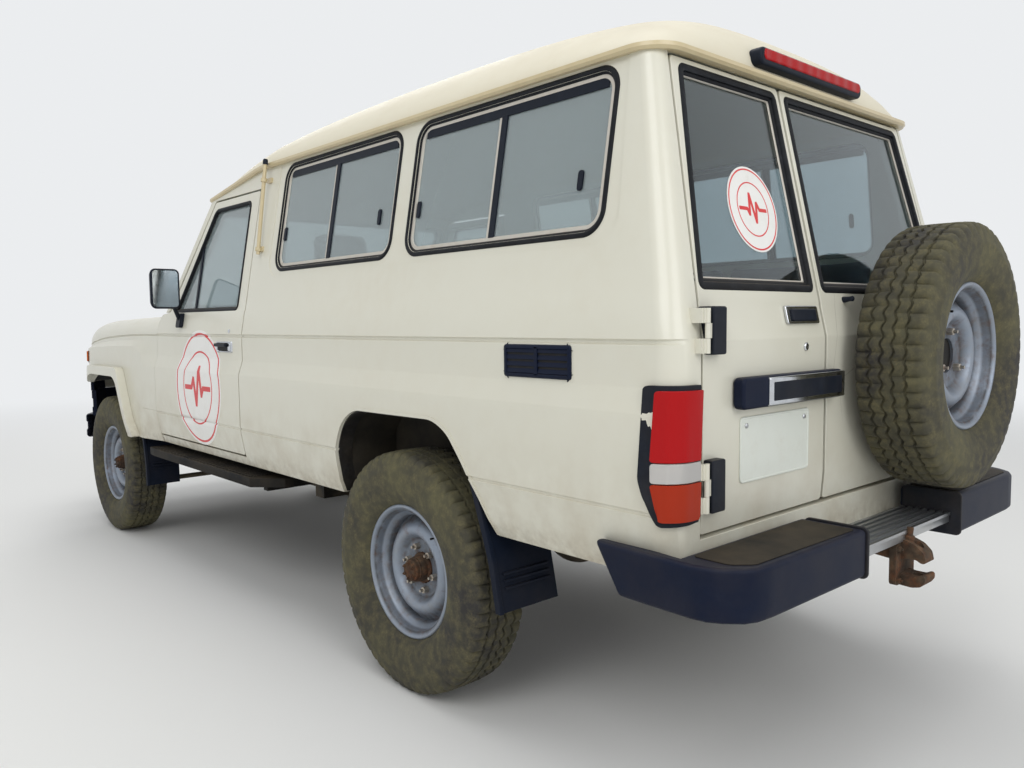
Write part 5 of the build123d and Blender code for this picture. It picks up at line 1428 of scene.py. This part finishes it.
WHEELS = (
    # word, body, middle, outward
    ("front_left", "wheel_front_left", (757.5, -1715, 396), (1, 0, 0)),
    ("front_right", "wheel_front_right", (-757.5, -1715, 396), (-1, 0, 0)),
    ("rear_left", "wheel_rear_left", (740, 1265, 396), (1, 0, 0)),
    ("rear_right", "wheel_rear_right", (-740, 1265, 396), (-1, 0, 0)),
    ("spare", RIGHT_DOOR, (-330, 2477.5, 1089), (0, 1, 0)),
)
AXLE_NUTS = (
    # name, finish, size, height, how many, radius of their circle, place outwards, first angle
    ("wheel_nuts", "worn_nut_plate", 11.5, 20, 6, 72, 17, 0.3),
    ("hub_bolts", "rusted_iron", 5.5, 7, 6, 25, 67, 0),
)
SPARE_NUTS = (("wheel_nuts", "worn_nut_plate", 12, 20, 3, 72, 17, 0.5),)
for word, body, middle, outward in WHEELS:
    settle(tyre(middle, outward), f"tyre_{word}_shape", "tyre_rubber", "tyre_rubber", sharp=42, body=body,
        replaces=f"tyre_{word}")
    rim = settle(turned(RIM_PROFILE, middle, outward, 128), f"rim_{word}_shape", "silver_wheel_enamel",
        "wheel_steel", sharp=50, body=body, replaces=f"rim_{word}")
    # Each rim marks its troughs: there shade is painted dark, and rust is laid
    grime = rim.data.attributes.new("grime", "FLOAT", "POINT")
    for spot, corner in zip(grime.data, rim.data.vertices):
        away = corner.co / MM - Vector(middle)
        radius = (away - Vector(outward) * away.dot(Vector(outward))).length
        spot.value = max(math.exp(-((radius - 166) / 16) ** 2), 0.9 * math.exp(-((radius - 200) / 5) ** 2),
            0.8 * math.exp(-((radius - 97) / 9) ** 2), 0.7 if radius < 56 else 0)
    root = Vector(middle) + Vector(outward).orthogonal().normalized() * 187 + Vector(outward) * 30
    valve = turned(((0, 0), (4.5, 0), (4, 14), (2.6, 16), (2.6, 34), (3.4, 35), (3.4, 42), (0, 43)), root, outward,
        12)
    settle(valve, f"valve_{word}", "moulded_rubber", "tyre_rubber", body=body)
    if word != "spare":
        settle(turned(HUB_PROFILE, middle, outward, 48), f"hub_{word}", "rusted_iron", "wheel_steel", sharp=30,
            body=body)
    for part, finish, *ring in SPARE_NUTS if word == "spare" else AXLE_NUTS:
        settle(ring_of_nuts(*ring, middle, outward), f"{part}_{word}", finish, "wheel_steel", sharp=30, body=body)
tell("wheels")


# %% [markdown]
# The rear bumper is two moulded corners with a ribbed aluminium step between them. A corner is its plan
# pulled up, with its front end cut at a slant.

# %% Rear bumper corners
BUMPER_PLAN = ((862, 2075), (869, 2300), (870, 2420), (864, 2458), (846, 2488), (812, 2524), (780, 2538),
    (730, 2543), (304, 2547), (304, 2367), (832, 2367), (826, 2300), (826, 2075))
SLANT = ((2040, 740), (2092, 740), (2222, 540), (2040, 540))
for side, word in SIDES:
    corner = laid(blank(BUMPER_PLAN, 0, 556, 678), in_plan(side))
    slant = laid(blank(SLANT, 0, 780, 900), sideways(side))
    corner = carved(corner, [slant])
    settle(corner, f"bumper_corner_{word}", "grained_polypropylene", "bumper_plastic", 13, 4,
        replaces="rear_bumper" if side > 0 else "")
    cap = slab(sideways(side), (2378, 2552, 550, 683), 16, 299, 309, 5)
    settle(cap, f"bumper_cap_{word}", "moulded_abs", "bumper_plastic", 3)
    pad = laid(blank(((330, 2385), (330, 2528), (770, 2520), (812, 2480), (812, 2385)), 14, 676, 680.5, 5),
        in_plan(side))
    settle(pad, f"bumper_pad_{word}", "moulded_rubber", "bumper_plastic", 1.5)
    bracket = slab(in_plan(side), (375, 425, 2285.5, 2400), 0, 545, 600)
    settle(bracket, f"bumper_bracket_{word}", "chassis_enamel", "chassis_black", 3)
tell("bumper")

# %% [markdown]
# Small fittings give the sides their scale: a vent with slanted louvres on each, and on the left a whip
# aerial folded down in its tube.

# %% Vent and aerial
for side, word in SIDES:
    lay = on_side(side)
    fitting(f"vent_back_{word}", (1778, 2020, 1062, 1141), 6, -1.5, 0, "epdm_seal_rubber", BODY, 0.4, lay)
    settle(moulding(rectangle(1772, 2026, 1057, 1146), 9, ((1.5, 5), (2, 1.5), (7, 0), (2, -3), (0.5, -3)), lay, 5,
        -0.5), f"vent_rim_{word}", "grained_polypropylene", sharp=40)
    louvres = []
    for a0, a1 in ((1784, 1893), (1905, 2014)):
        for k in range(4):
            z = 1070 + 18 * k
            slat = blank(rectangle(a0, a1, z, z + 12), 2, -5, -1, 3)
            for corner in slat.verts:
                if corner.co.z > z + 6:
                    corner.co.y += 3
            louvres.append(laid(slat, lay))
    louvres.append(slab(lay, (1893, 1905, 1064, 1140), 0, -6, -1))
    settle(louvres, f"vent_louvres_{word}", "grained_polypropylene", bevel_mm=0.8)
foot, head = Vector((778, 172, 1496)), Vector((730, 168, 1872))
way = (head - foot).normalized()
long = (head - foot).length
tube = turned(rectangle(0, 8, 0, long), foot, way, 24)
settle(tube, "aerial_tube", "drip_enamel", sharp=30)
settle(turned(((0, -2), (10.5, -2), (10.5, 16), (8, 21), (0, 22)), head, way, 24), "aerial_cap", "moulded_abs",
    sharp=30)
for k, share in enumerate((0.035, 0.80)):
    spot = foot + (head - foot) * share
    grip = turned(rectangle(8.2, 13, 0, 16), spot, way, 24)
    arm = slab(on_side(1), (150, 188, spot.z - 2, spot.z + 20), 5, -9, 2, 4)
    settle([grip, arm], f"aerial_clamp_{k + 1}", "drip_enamel", bevel_mm=0.8)
tell("side fittings")

# %% [markdown]
# A mirror is a moulded shell with a glass set in its rear face, on a bent tube clamped to the door. Its
# blank is cut in the plane of the glass and pulled forwards.

# %% Mirrors
for side, word in SIDES:
    def facing_back(a, b, depth):
        """Lay a blank in the plane of the mirror: depth runs forwards."""
        return side * a, -529 - depth, b

    body = f"front_door_{word}"
    shell = slab(facing_back, (846, 984, 1280, 1472), 26, 0, 42, 7)
    for corner in shell.verts:
        if corner.co.y < -0.56:
            corner.co.z = 1.376 + (corner.co.z - 1.376) * 0.86
            corner.co.x = side * (0.915 + (abs(corner.co.x) - 0.915) * 0.86)
    settle(shell, f"mirror_shell_{word}", "moulded_abs", f"mirror_{word}", 8, 4, body=body,
        replaces=f"mirror_{word}")
    settle(moulding(rectangle(849, 981, 1283, 1469), 24, ((2, 4), (3, 1), (2, -2), (1, -2)), facing_back, 7, 0),
        f"mirror_rim_{word}", "moulded_abs", sharp=50, body=body)
    glass = slab(facing_back, (855, 975, 1289, 1463), 19, -1.6, 1, 7)
    settle(glass, f"mirror_glass_{word}", "mirror_glass", bevel_mm=0.5, body=body)
    foot_x = side_x(1226)
    clamp = slab(on_side(side), (-640, -590, 1192, 1262), 12, -20, -0.2, 5)
    tube = drawn([(side * (foot_x + 13), -615, 1232), (side * (foot_x + 30), -600, 1262), (side * 866, -565, 1290),
        (side * 869, -551, 1330), (side * 869, -551, 1440)], circle(0, 0, 9.5, 12), upright=REARWARDS)
    settle([clamp, tube], f"mirror_arm_{word}", "moulded_abs", f"mirror_{word}", 2, sharp=30, body=body)
tell("mirrors")

# %% [markdown]
# The running boards have a ribbed rubber top in a pressed tray.

# %% Running boards
for side, word in SIDES:
    def on_top(a, b, depth):
        """Lay a blank on the board: a is across, b along, and depth goes down."""
        return side * a, b, 560 - depth

    ribs = [slab(on_top, (x, x + 9, -1000, 150), 3, -4, 0, 3) for x in range(672, 826, 17)]
    mat = slab(on_top, (664, 834, -1010, 160), 12, -1.5, 0, 4)
    settle(ribs + [mat], f"board_mat_{word}", "moulded_rubber", bevel_mm=1)
tell("boards")

# %% [markdown]
# Each rear arch has a rolled lip in body colour. Behind it a dark band is laid on the return as painted
# shade, so only a narrow rim stays cream.

# %% Rear arch lips, with painted shade behind them
ARCH_MIDDLE = 1290


def arch_inside(share, drop):
    """The rear arch's outline, drawn in to its middle by a share and lowered."""
    return [(ARCH_MIDDLE + (a - ARCH_MIDDLE) * share, b - drop) for a, b in REAR_ARCH]


for side, word in SIDES:
    lay = on_side(side)
    below_sill = blank(rectangle(700, 1900, 300, 602), 0, -60, 120)
    lip = carved(blank(((866, 400), (866, 795), (961, 919), (1506, 923), (1643, 764), (1823, 400)), 75, -2.5, 12,
        10), [blank(arch_inside(0.993, 3), 73, -40, 90, 10), below_sill])
    below_sill = blank(rectangle(700, 1900, 200, 604), 0, -60, 120)
    # A dark band of painted shade over the arch's return
    shade_band = carved(blank(arch_inside(0.997, 1), 74, 10, 64, 10), [blank(arch_inside(0.984, 8), 72, -40, 90,
        10), below_sill])
    settle(laid(shade_band, lay, FOLDS), f"rear_arch_underseal_{word}", "epdm_seal_rubber", f"body_side_{word}", 1.5)
    settle(laid(lip, lay, FOLDS), f"rear_arch_lip_{word}", "cream_enamel", f"body_side_{word}", 1.5)
tell("arches")

# %% [markdown]
# A mud flap is a thick, slightly curved rubber sheet with a bead along its outer edge and a few ribs. The
# jaw at the back is a rusty casting: two tongues on a bolted plate, open between them for a ring.

# %% Mud flaps and towing jaw
def flap(word, side, line, inner, outer, ribs):
    """A flap hung along a line of (y, z) points, from its inner to its outer edge, in mm."""
    across = sideways(side)

    def sheet(front, back, low, high):
        """The line given thickness, front and back of it, between two distances from the middle."""
        outline = [(y - front, z) for y, z in line] + [(y + back, z) for y, z in reversed(line)]
        return laid(blank(outline, 0, low, high), across)

    shapes = [sheet(0, 8, inner, outer), sheet(7, 15, outer - 14, outer + 1)]
    for z in ribs:
        (y0, z0), (y1, z1) = line[-2:]
        y = y0 + (y1 - y0) * (z - z0) / (z1 - z0)
        shapes.append(slab(across, (y + 6, y + 14, z - 4, z + 4), 2, inner + 24, outer - 34, 3))
    settle(shapes, f"mud_flap_{word}", "flap_rubber", "mud_flaps", 2.5, 3,
        replaces="mud_flaps" if word == "rear_left" else "")


for side, word in SIDES:
    flap(f"rear_{word}", side, ((1622, 756), (1643, 700), (1664, 642), (1686, 585), (1708, 520), (1738, 380)), 596,
        832, (486, 466, 446))
    flap(f"front_{word}", side, ((-1322, 700), (-1280, 650), (-1240, 600), (-1222, 520), (-1206, 430),
        (-1202, 330)), 645, 822, (452, 436, 420))
    strap = slab(lambda a, b, depth: (side * depth, a - (604 - b) * 0.35, b), (1730, 1770, 540, 604), 4, 600, 640,
        3)
    settle(strap, f"flap_strap_{word}", "chassis_enamel", "mud_flaps", 3)


plate = slab(lambda a, b, depth: (a, depth, b), (-60, 60, 470, 586), 14, 2497, 2515, 4)
lower = blank(((2509, 470), (2548, 468), (2572, 474), (2583, 490), (2582, 505), (2572, 506), (2562, 499),
    (2530, 499), (2509, 504)), 5, -34, 34, 3)
upper = blank(((2509, 596), (2530, 594), (2556, 584), (2576, 565), (2582, 540), (2570, 537), (2556, 545),
    (2530, 545), (2509, 538)), 5, -28, 28, 3)
tongues = []
for tongue in (lower, upper):
    bore = laid(blank(circle(0, 2551, 13), 0, 450, 610), level)
    tongues.append(carved(laid(tongue, sideways(1)), [bore]))
bar = drawn([(0, 2270, 566), (0, 2380, 556), (0, 2500, 545)], circle(0, 0, 19, 16))
nuts = [stand(hexagon_nut(9, 9), (x, 2519, z), (0, 1, 0)) for x in (-46, 46) for z in (484, 572)]
pivot = turned(((0, 0), (15, 0), (15, 10), (9, 14), (9, 34), (0, 36)), (0, 2524, 592), (0, 0.1, 1), 24)
settle([plate, bar, pivot] + tongues + nuts, "tow_jaw", "rusted_iron", "tow_hook", 5, 3, 30, replaces="tow_hook")
tell("flaps")

# %% [markdown]
# The seats and benches are vinyl over foam, full in the middle and pulled in between the corners. So each
# cushion starts too small, is remeshed into even cloth, and the pressure of a cloth simulation fills it.

# %% Stuffed cushions
CLOTH_MM, MOST_MM = 9, 13


def smoothed(pad):
    """Even out a pad's surface once."""
    bmesh.ops.smooth_vert(pad, verts=pad.verts, factor=0.5, use_axis_x=True, use_axis_y=True, use_axis_z=True)


def stuffed(wide, long, thick, channels=()):
    """A cushion lying flat, its middle at x 0, y 0 and its underside at z 0, in metres."""
    shape = blank(rectangle(-wide / 2 + 9, wide / 2 - 9, -long / 2 + 9, long / 2 - 9), 26, 4, thick - 12, 5)
    rim = [e for e in shape.edges if abs(e.verts[0].co.y - e.verts[1].co.y) < 0.01]
    rounded(shape, rim, 14, 3)
    laid(shape, level)
    cover = in_scene("cover", as_mesh(shape, "cover"))
    even = cover.modifiers.new("even", "REMESH")
    even.mode = "VOXEL"
    even.voxel_size = CLOTH_MM * MM
    cover.data = as_modified(cover)
    cover.modifiers.clear()
    start = [corner.co.copy() for corner in cover.data.vertices]
    cloth = cover.modifiers.new("cover", "CLOTH").settings
    cloth.use_pressure = True
    cloth.uniform_pressure_force = 4
    cloth.effector_weights.gravity = 0
    for frame_number in range(1, 21):
        scene.frame_set(frame_number)
    blown = as_modified(cover)
    cover.modifiers.clear()
    scene.frame_set(1)
    for corner, was in zip(blown.vertices, start):
        move = corner.co - was
        if move.length > MOST_MM * MM:
            corner.co = was + move.normalized() * MOST_MM * MM
        if was.z < 0.012:
            corner.co.z = max(0.001, min(corner.co.z, was.z))
    bpy.data.objects.remove(cover)
    pad = bmesh.new()
    pad.from_mesh(blown)
    smoothed(pad)
    bmesh.ops.subdivide_edges(pad, edges=pad.edges[:], cuts=1, use_grid_fill=True, smooth=0.0)
    smoothed(pad)
    smoothed(pad)
    for corner in pad.verts:
        for axis, place in channels:
            off = (corner.co[axis] / MM - place) / 8
            if corner.co.z > thick * MM * 0.45:
                corner.co.z -= 7 * MM * math.exp(-off * off)
    return as_mesh(pad, "cushion")


def upholster(cushion, name, lie, slot, replaces=""):
    """Place a copy of a cushion: lie is its matrix, in metres."""
    pad = bmesh.new()
    pad.from_mesh(cushion)
    bmesh.ops.transform(pad, matrix=lie, verts=pad.verts)
    piece = settle(pad, name, "seat_vinyl", slot, sharp=60, replaces=replaces)


def lying(x, y, z, lean=0):
    """Place in mm, leaning back by a number of degrees."""
    return Matrix.Translation(Vector((x, y, z)) * MM) @ Matrix.Rotation(math.radians(lean), 4, "X")


SEAT_X = 360
seat_pad = stuffed(496, 470, 92, [(0, -120), (0, 0), (0, 120)])
seat_back = stuffed(496, 590, 82, [(0, -120), (0, 120), (1, 60)])
bench_pad = stuffed(366, 614, 80, [(1, -150), (1, 0), (1, 150)])
bench_back = stuffed(400, 614, 66, [(0, 0)])
bed_pad = stuffed(474, 594, 66)
for side, word in SIDES:
    slot = "front_seats"

    def by_seat(a, b, depth):
        """Lay a blank cut in the side view: depth runs out from the seat's middle."""
        return side * (SEAT_X + depth), a, b

    upholster(seat_pad, f"seat_cushion_{word}", lying(side * SEAT_X, -236, 812, -3), slot,
        "front_seats" if side > 0 else "")
    upholster(seat_back, f"seat_back_{word}", lying(side * SEAT_X, 82, 1150, 79.6), slot)
    box = slab(by_seat, (-428, -28, 690, 803), 8, -200, 200, 4)
    settle(box, f"seat_box_{word}", "chassis_enamel", slot, 4)
    rail = slab(by_seat, (-470, -10, 800, 816), 4, -236, 236, 3)
    settle(rail, f"seat_pan_{word}", "chassis_enamel", slot, 3)
    rest = turned(rectangle(0, 6, 0, 70), (side * SEAT_X, 134, 1430), (0, 0.17, 1), 16)
    head = slab(lambda a, b, depth: (side * SEAT_X + a, depth, b), (-120, 120, 1462, 1600), 40, 105, 165, 7)
    settle([rest, head], f"head_rest_{word}", "seat_vinyl", slot, 22, 4)
for k in range(3):
    middle = 240 + 1865 * (k + 0.5) / 3
    upholster(bench_pad, f"bench_cushion_{k + 1}", lying(-515, middle, 974), "bench", "" if k else "bench")
    upholster(bench_back, f"bench_back_{k + 1}", lying(-699, middle, 1228) @ Matrix.Rotation(math.radians(90), 4,
        "Y"), "bench")
    middle = 300 + 1805 * (k + 0.5) / 3
    upholster(bed_pad, f"stretcher_pad_{k + 1}", lying(300, middle, 909), "stretcher", "" if k else "stretcher")


TUBE_ROUND = circle(0, 0, 12, 12)
frame_rail = [(x, y, 896) for x, y in rectangle(72, 528, 312, 2093)]
bed = [drawn(frame_rail, TUBE_ROUND, closed=True), slab(level, (72, 528, 312, 2093), 6, 897, 908, 3)]
bed += [drawn([(x, y, 690.5), (x, y, 896)], TUBE_ROUND, upright=REARWARDS) for x in (92, 508) for y in (372, 1997)]
settle(bed, "stretcher_frame", "mill_aluminium", "stretcher", sharp=30)
board = [slab(level, (-698, -332, 242, 2103), 6, 958, 973, 3)]
board += [slab(level, (x0, -345, y, y + 46), 3, 690.5, 960, 2) for x0, y in ((-688, 302), (-552, 1997))]
settle(board, "bench_frame", "chassis_enamel", "bench", 3)
tell("seats")

# %% [markdown]
# The dashboard is one moulding, so its edges are generously rounded. Onto it go hooded dials, air nozzles,
# a lidded box and switches. The steering wheel is a bent tube.

# %% Dashboard and steering wheel
def on_dash(a, b, depth):
    """Lay a blank on the dashboard's rear face: a is across, b the height and depth goes forwards."""
    return a, -635 + (1186 - b) * 5 / 82 - depth, b


fittings = [slab(on_dash, (-600, -180, 1108, 1180), 10, -5, 4, 4), slab(on_dash, (-130, 110, 1112, 1178), 6, -5, 4,
    3)]
fittings += [slab(on_dash, (x, x + 22, 1120, 1134), 3, -11, 0, 3) for x in range(-118, 90, 32)]
settle(fittings, "dash_lids", "moulded_abs", "dashboard", 2)
hood = laid(blank(((190, 1186), (190, 1236), (215, 1262), (465, 1262), (490, 1236), (490, 1186)), 10, 0, 120, 5),
    lambda a, b, depth: (a, -660 - depth, b - depth * 0.28))
hole = laid(blank(((203, 1170), (203, 1230), (222, 1250), (458, 1250), (477, 1230), (477, 1170)), 8, -40, 34, 5),
    lambda a, b, depth: (a, -660 - depth, b - depth * 0.1))
settle(carved(hood, [hole]), "dash_hood", "moulded_abs", "dashboard", 3)
dials = [turned(((0, -4), (42, -4), (42, 3), (38, 4), (36, 0), (0, 0)), (x, -690, 1206), (0, 1, 0.15), 40)
    for x in (280, 400)]
settle(dials, "dash_dials", "moulded_rubber", "dashboard", sharp=30)
for k, x in enumerate((-640, 640)):
    nozzle = turned(((0, -3), (34, -3), (34, 6), (30, 8), (26, 2), (0, 2)), (x, -634, 1146), (0, 1, 0), 32)
    vanes = [slab(on_dash, (x - 24, x + 24, z, z + 3), 0, -6, 0) for z in (1132, 1140, 1148, 1156)]
    settle([nozzle] + vanes, f"dash_nozzle_{k + 1}", "moulded_abs", "dashboard", sharp=30)
WHEEL_AXIS = Vector((0, 0.75, 0.66)).normalized()
WHEEL_PLACE = Vector((340, -538, 1150))
rim_round = circle(181, 0, 13, 16)
grip = turned(rim_round, WHEEL_PLACE, WHEEL_AXIS, 96)
boss = turned(((0, -34), (38, -34), (46, -22), (50, -6), (46, 4), (34, 10), (0, 12)), WHEEL_PLACE, WHEEL_AXIS, 48)
spokes = []
for angle in (90, 210, 330):
    spoke = blank(((30, -17), (90, -13), (174, -15), (174, 15), (90, 13), (30, 17)), 0, -6, 4)
    for corner in spoke.verts:
        corner.co = Vector((corner.co.x, corner.co.z, corner.co.y - 12 * (1 - corner.co.x / 174)))
    bmesh.ops.rotate(spoke, verts=spoke.verts, cent=(0, 0, 0), matrix=Matrix.Rotation(math.radians(angle), 3, "Z"))
    face_outwards(spoke)
    spokes.append(stand(spoke, WHEEL_PLACE, WHEEL_AXIS))
length = (-538 + 976) / WHEEL_AXIS.y - 16
column = turned(((0, -length), (22, -length), (22, -150), (34, -140), (34, -44), (0, -40)), WHEEL_PLACE,
    WHEEL_AXIS, 32)
settle([grip, boss, column] + spokes, "steering_wheel_shape", "moulded_abs", "steering_wheel", 1.2,
    replaces="steering_wheel")
LEVER_FOOT = (60, -560, 695)
lever = turned(((0, 0), (9, 0), (7, 250), (6, 330), (0, 332)), LEVER_FOOT, (0.02, 0.25, 1), 20)
knob = turned(((0, 322), (14, 326), (21, 342), (20, 358), (10, 370), (0, 372)), LEVER_FOOT, (0.02, 0.25, 1), 24)
boot = turned(((0, 0), (70, 0), (64, 10), (50, 14), (46, 26), (34, 30), (30, 44), (16, 52), (12, 66), (0, 66)),
    LEVER_FOOT, (0, 0.1, 1), 32)
settle([lever, knob, boot], "gear_lever", "moulded_rubber", "gearbox", sharp=30)
tell("dashboard")

# %% [markdown]
# Under the bonnet stands a straight six, a guess: a ribbed iron block with an aluminium cover, a round air
# cleaner, a battery, and a fan with its hoses.

# %% Engine bay
def ahead(a, b, depth):
    """Lay a blank across the vehicle: a is across, b the height and depth goes forwards."""
    return a, -1155 - depth, b


def boxed(x0, x1, y0, y1, z0, z1, radius):
    """A rounded housing between two corners, rounded in plan."""
    return slab(level, (x0, x1, y0, y1), radius, z0, z1, 5)


block_outline = ((-140, 470), (140, 470), (158, 560), (158, 700), (138, 740), (138, 850), (-138, 850), (-138, 740),
    (-158, 700), (-158, 560))
iron = [laid(blank(block_outline, 10, 20, 860, 4), ahead), boxed(-118, 118, -2005, -1185, 849, 925, 14)]
iron += [boxed(s * 150 - 10, s * 150 + 10, y, y + 16, 570, 842, 3) for s in (-1, 1) for y in range(-1960, -1200,
    120)]
iron += [drawn([(118, y, 880), (165, y, 878), (196, y, 850), (205, y + 6, 790)], circle(0, 0, 20, 12),
    upright=REARWARDS) for y in range(-1925, -1220, 130)]
settle(iron, "engine_block", "cast_iron", "engine", 4, sharp=30, replaces="engine")
cover = [boxed(-86, 86, -1990, -1200, 924, 985, 24)] + [boxed(-72, 72, y, y + 9, 984, 993, 3) for y in range(-1950,
    -1260, 46)]
cover.append(turned(((0, 0), (34, 0), (34, 14), (28, 20), (0, 20)), (30, -1230, 985), (0, 0, 1), 24))
settle(cover, "rocker_cover", "mill_aluminium", "engine", 5, 3, 30)
cleaner = turned(((0, 0), (104, 0), (110, 6), (110, 74), (114, 76), (114, 84), (108, 88), (96, 104), (30, 110),
    (30, 116), (0, 118)), (-290, -1560, 930), (0, 0, 1), 64)
duct = drawn([(-190, -1600, 975), (-130, -1620, 985), (-100, -1640, 960), (-96, -1650, 920)], circle(0, 0, 34, 16),
    upright=REARWARDS)
stand_for = boxed(-330, -250, -1580, -1540, 700, 932, 8)
settle([cleaner, duct, stand_for], "air_cleaner", "chassis_enamel", "engine", 1.5, sharp=30)
battery = [boxed(235, 415, -2170, -1910, 840, 1020, 8), boxed(229, 421, -2176, -1904, 1006, 1036, 8)]
battery += [turned(((0, 0), (11, 0), (9, 20), (0, 20)), (x, -1935, 1036), (0, 0, 1), 16) for x in (268, 382)]
tray = boxed(225, 425, -2190, -1890, 826, 841, 6)
settle(battery, "battery", "moulded_abs", "engine", 2)
settle([tray, boxed(300, 350, -2060, -2010, 600, 828, 4)], "battery_tray", "chassis_enamel", "engine", 2)
bottle = [boxed(-410, -290, -2190, -2010, 830, 985, 22), turned(((0, 0), (26, 0), (26, 18), (0, 20)), (-350, -2060,
    985), (0, 0, 1), 24)]
settle(bottle, "washer_bottle", "white_film", "engine", 8, 3)
tank = [boxed(-400, 400, -2318, -2262, 984, 1022, 12), boxed(-400, 400, -2318, -2262, 700, 742, 12)]
tank += [boxed(x, x + 20, -2316, -2264, 741, 985, 3) for x in (-400, 380)]
tank += [boxed(x, x + 5, -2306, -2274, 741, 985, 0) for x in range(-372, 376, 19)]
tank.append(turned(((0, 0), (28, 0), (28, 12), (20, 16), (0, 16)), (-180, -2290, 1021), (0, 0, 1), 24))
settle(tank, "radiator", "chassis_enamel", "engine", 1)
hub = turned(((0, 0), (70, 0), (70, 12), (44, 20), (44, 60), (62, 66), (62, 84), (0, 84)), (0, -2014, 800),
    (0, -1, 0), 40)
blades = []
for k in range(6):
    vane = blank(((50, -30), (190, -52), (200, 30), (50, 34)), 8, -3, 3, 4)
    for corner in vane.verts:
        a, depth, b = corner.co
        corner.co = Vector((a, b, depth + b * 0.55 + 70))
    bmesh.ops.rotate(vane, verts=vane.verts, cent=(0, 0, 0), matrix=Matrix.Rotation(math.tau * k / 6, 3, "Z"))
    face_outwards(vane)
    blades.append(stand(vane, (0, -2014, 800), (0, -1, 0)))
settle([hub] + blades, "cooling_fan", "moulded_abs", "engine", 1)
TUBE_HOSE = circle(0, 0, 24, 16)
for k, path in enumerate((((200, -2272, 1000), (190, -2230, 1004), (130, -2150, 990), (70, -2060, 960), (60, -2010,
        900)), ((-220, -2272, 722), (-220, -2230, 716), (-170, -2150, 690), (-110, -2070, 670), (-90, -2010,
        668)))):
    smooth = along_curve([Vector(p) for p in path], 24)
    settle(drawn(smooth, TUBE_HOSE), f"radiator_hose_{k + 1}", "moulded_rubber", "engine", sharp=30)
tell("engine")


# %% [markdown]
# The parts below and behind the panels keep the shapes of the CAD model. A casting, a bent tube or a bracket
# has eased edges too, so each gets a small bevel and the finish of what it is.

# %% Running gear and fittings
for name, finish, ease in (
    ("cowl", "cream_enamel", 3),
    ("chassis_rails", "chassis_enamel", 4), ("cross_members", "chassis_enamel", 2),
    ("body_mounts", "chassis_enamel", 2), ("floor", "floor_enamel", 3), ("front_axle", "cast_iron", 4),
    ("rear_axle", "cast_iron", 4), ("leaf_springs", "cast_iron", 3),
    ("gearbox", "cast_iron", 6), ("propshafts", "pipe_steel", 3), ("exhaust", "pipe_steel", 2),
    ("fuel_tank", "chassis_enamel", 4),
    ("spare_carrier", "chassis_enamel", 3), ("knuckle_left", "cast_iron", 3), ("knuckle_right", "cast_iron", 3),
    ("tie_rod", "cast_iron", 2), ("rear_step", "mill_aluminium", 1.5),
    ("running_boards", "moulded_rubber", 5), ("dashboard", "moulded_abs", 12),
):
    soften(name, finish, ease)
for name in ("fixed_glass", "door_glass_left", "door_glass_right", "rear_glass_left", "rear_glass_right"):
    nodes[name].data.materials.clear()
    nodes[name].data.materials.append(FINISH["tempered_glass" if "rear" in name else "dust_and_reflection_glass"])
print("pieces", len(made_pieces))
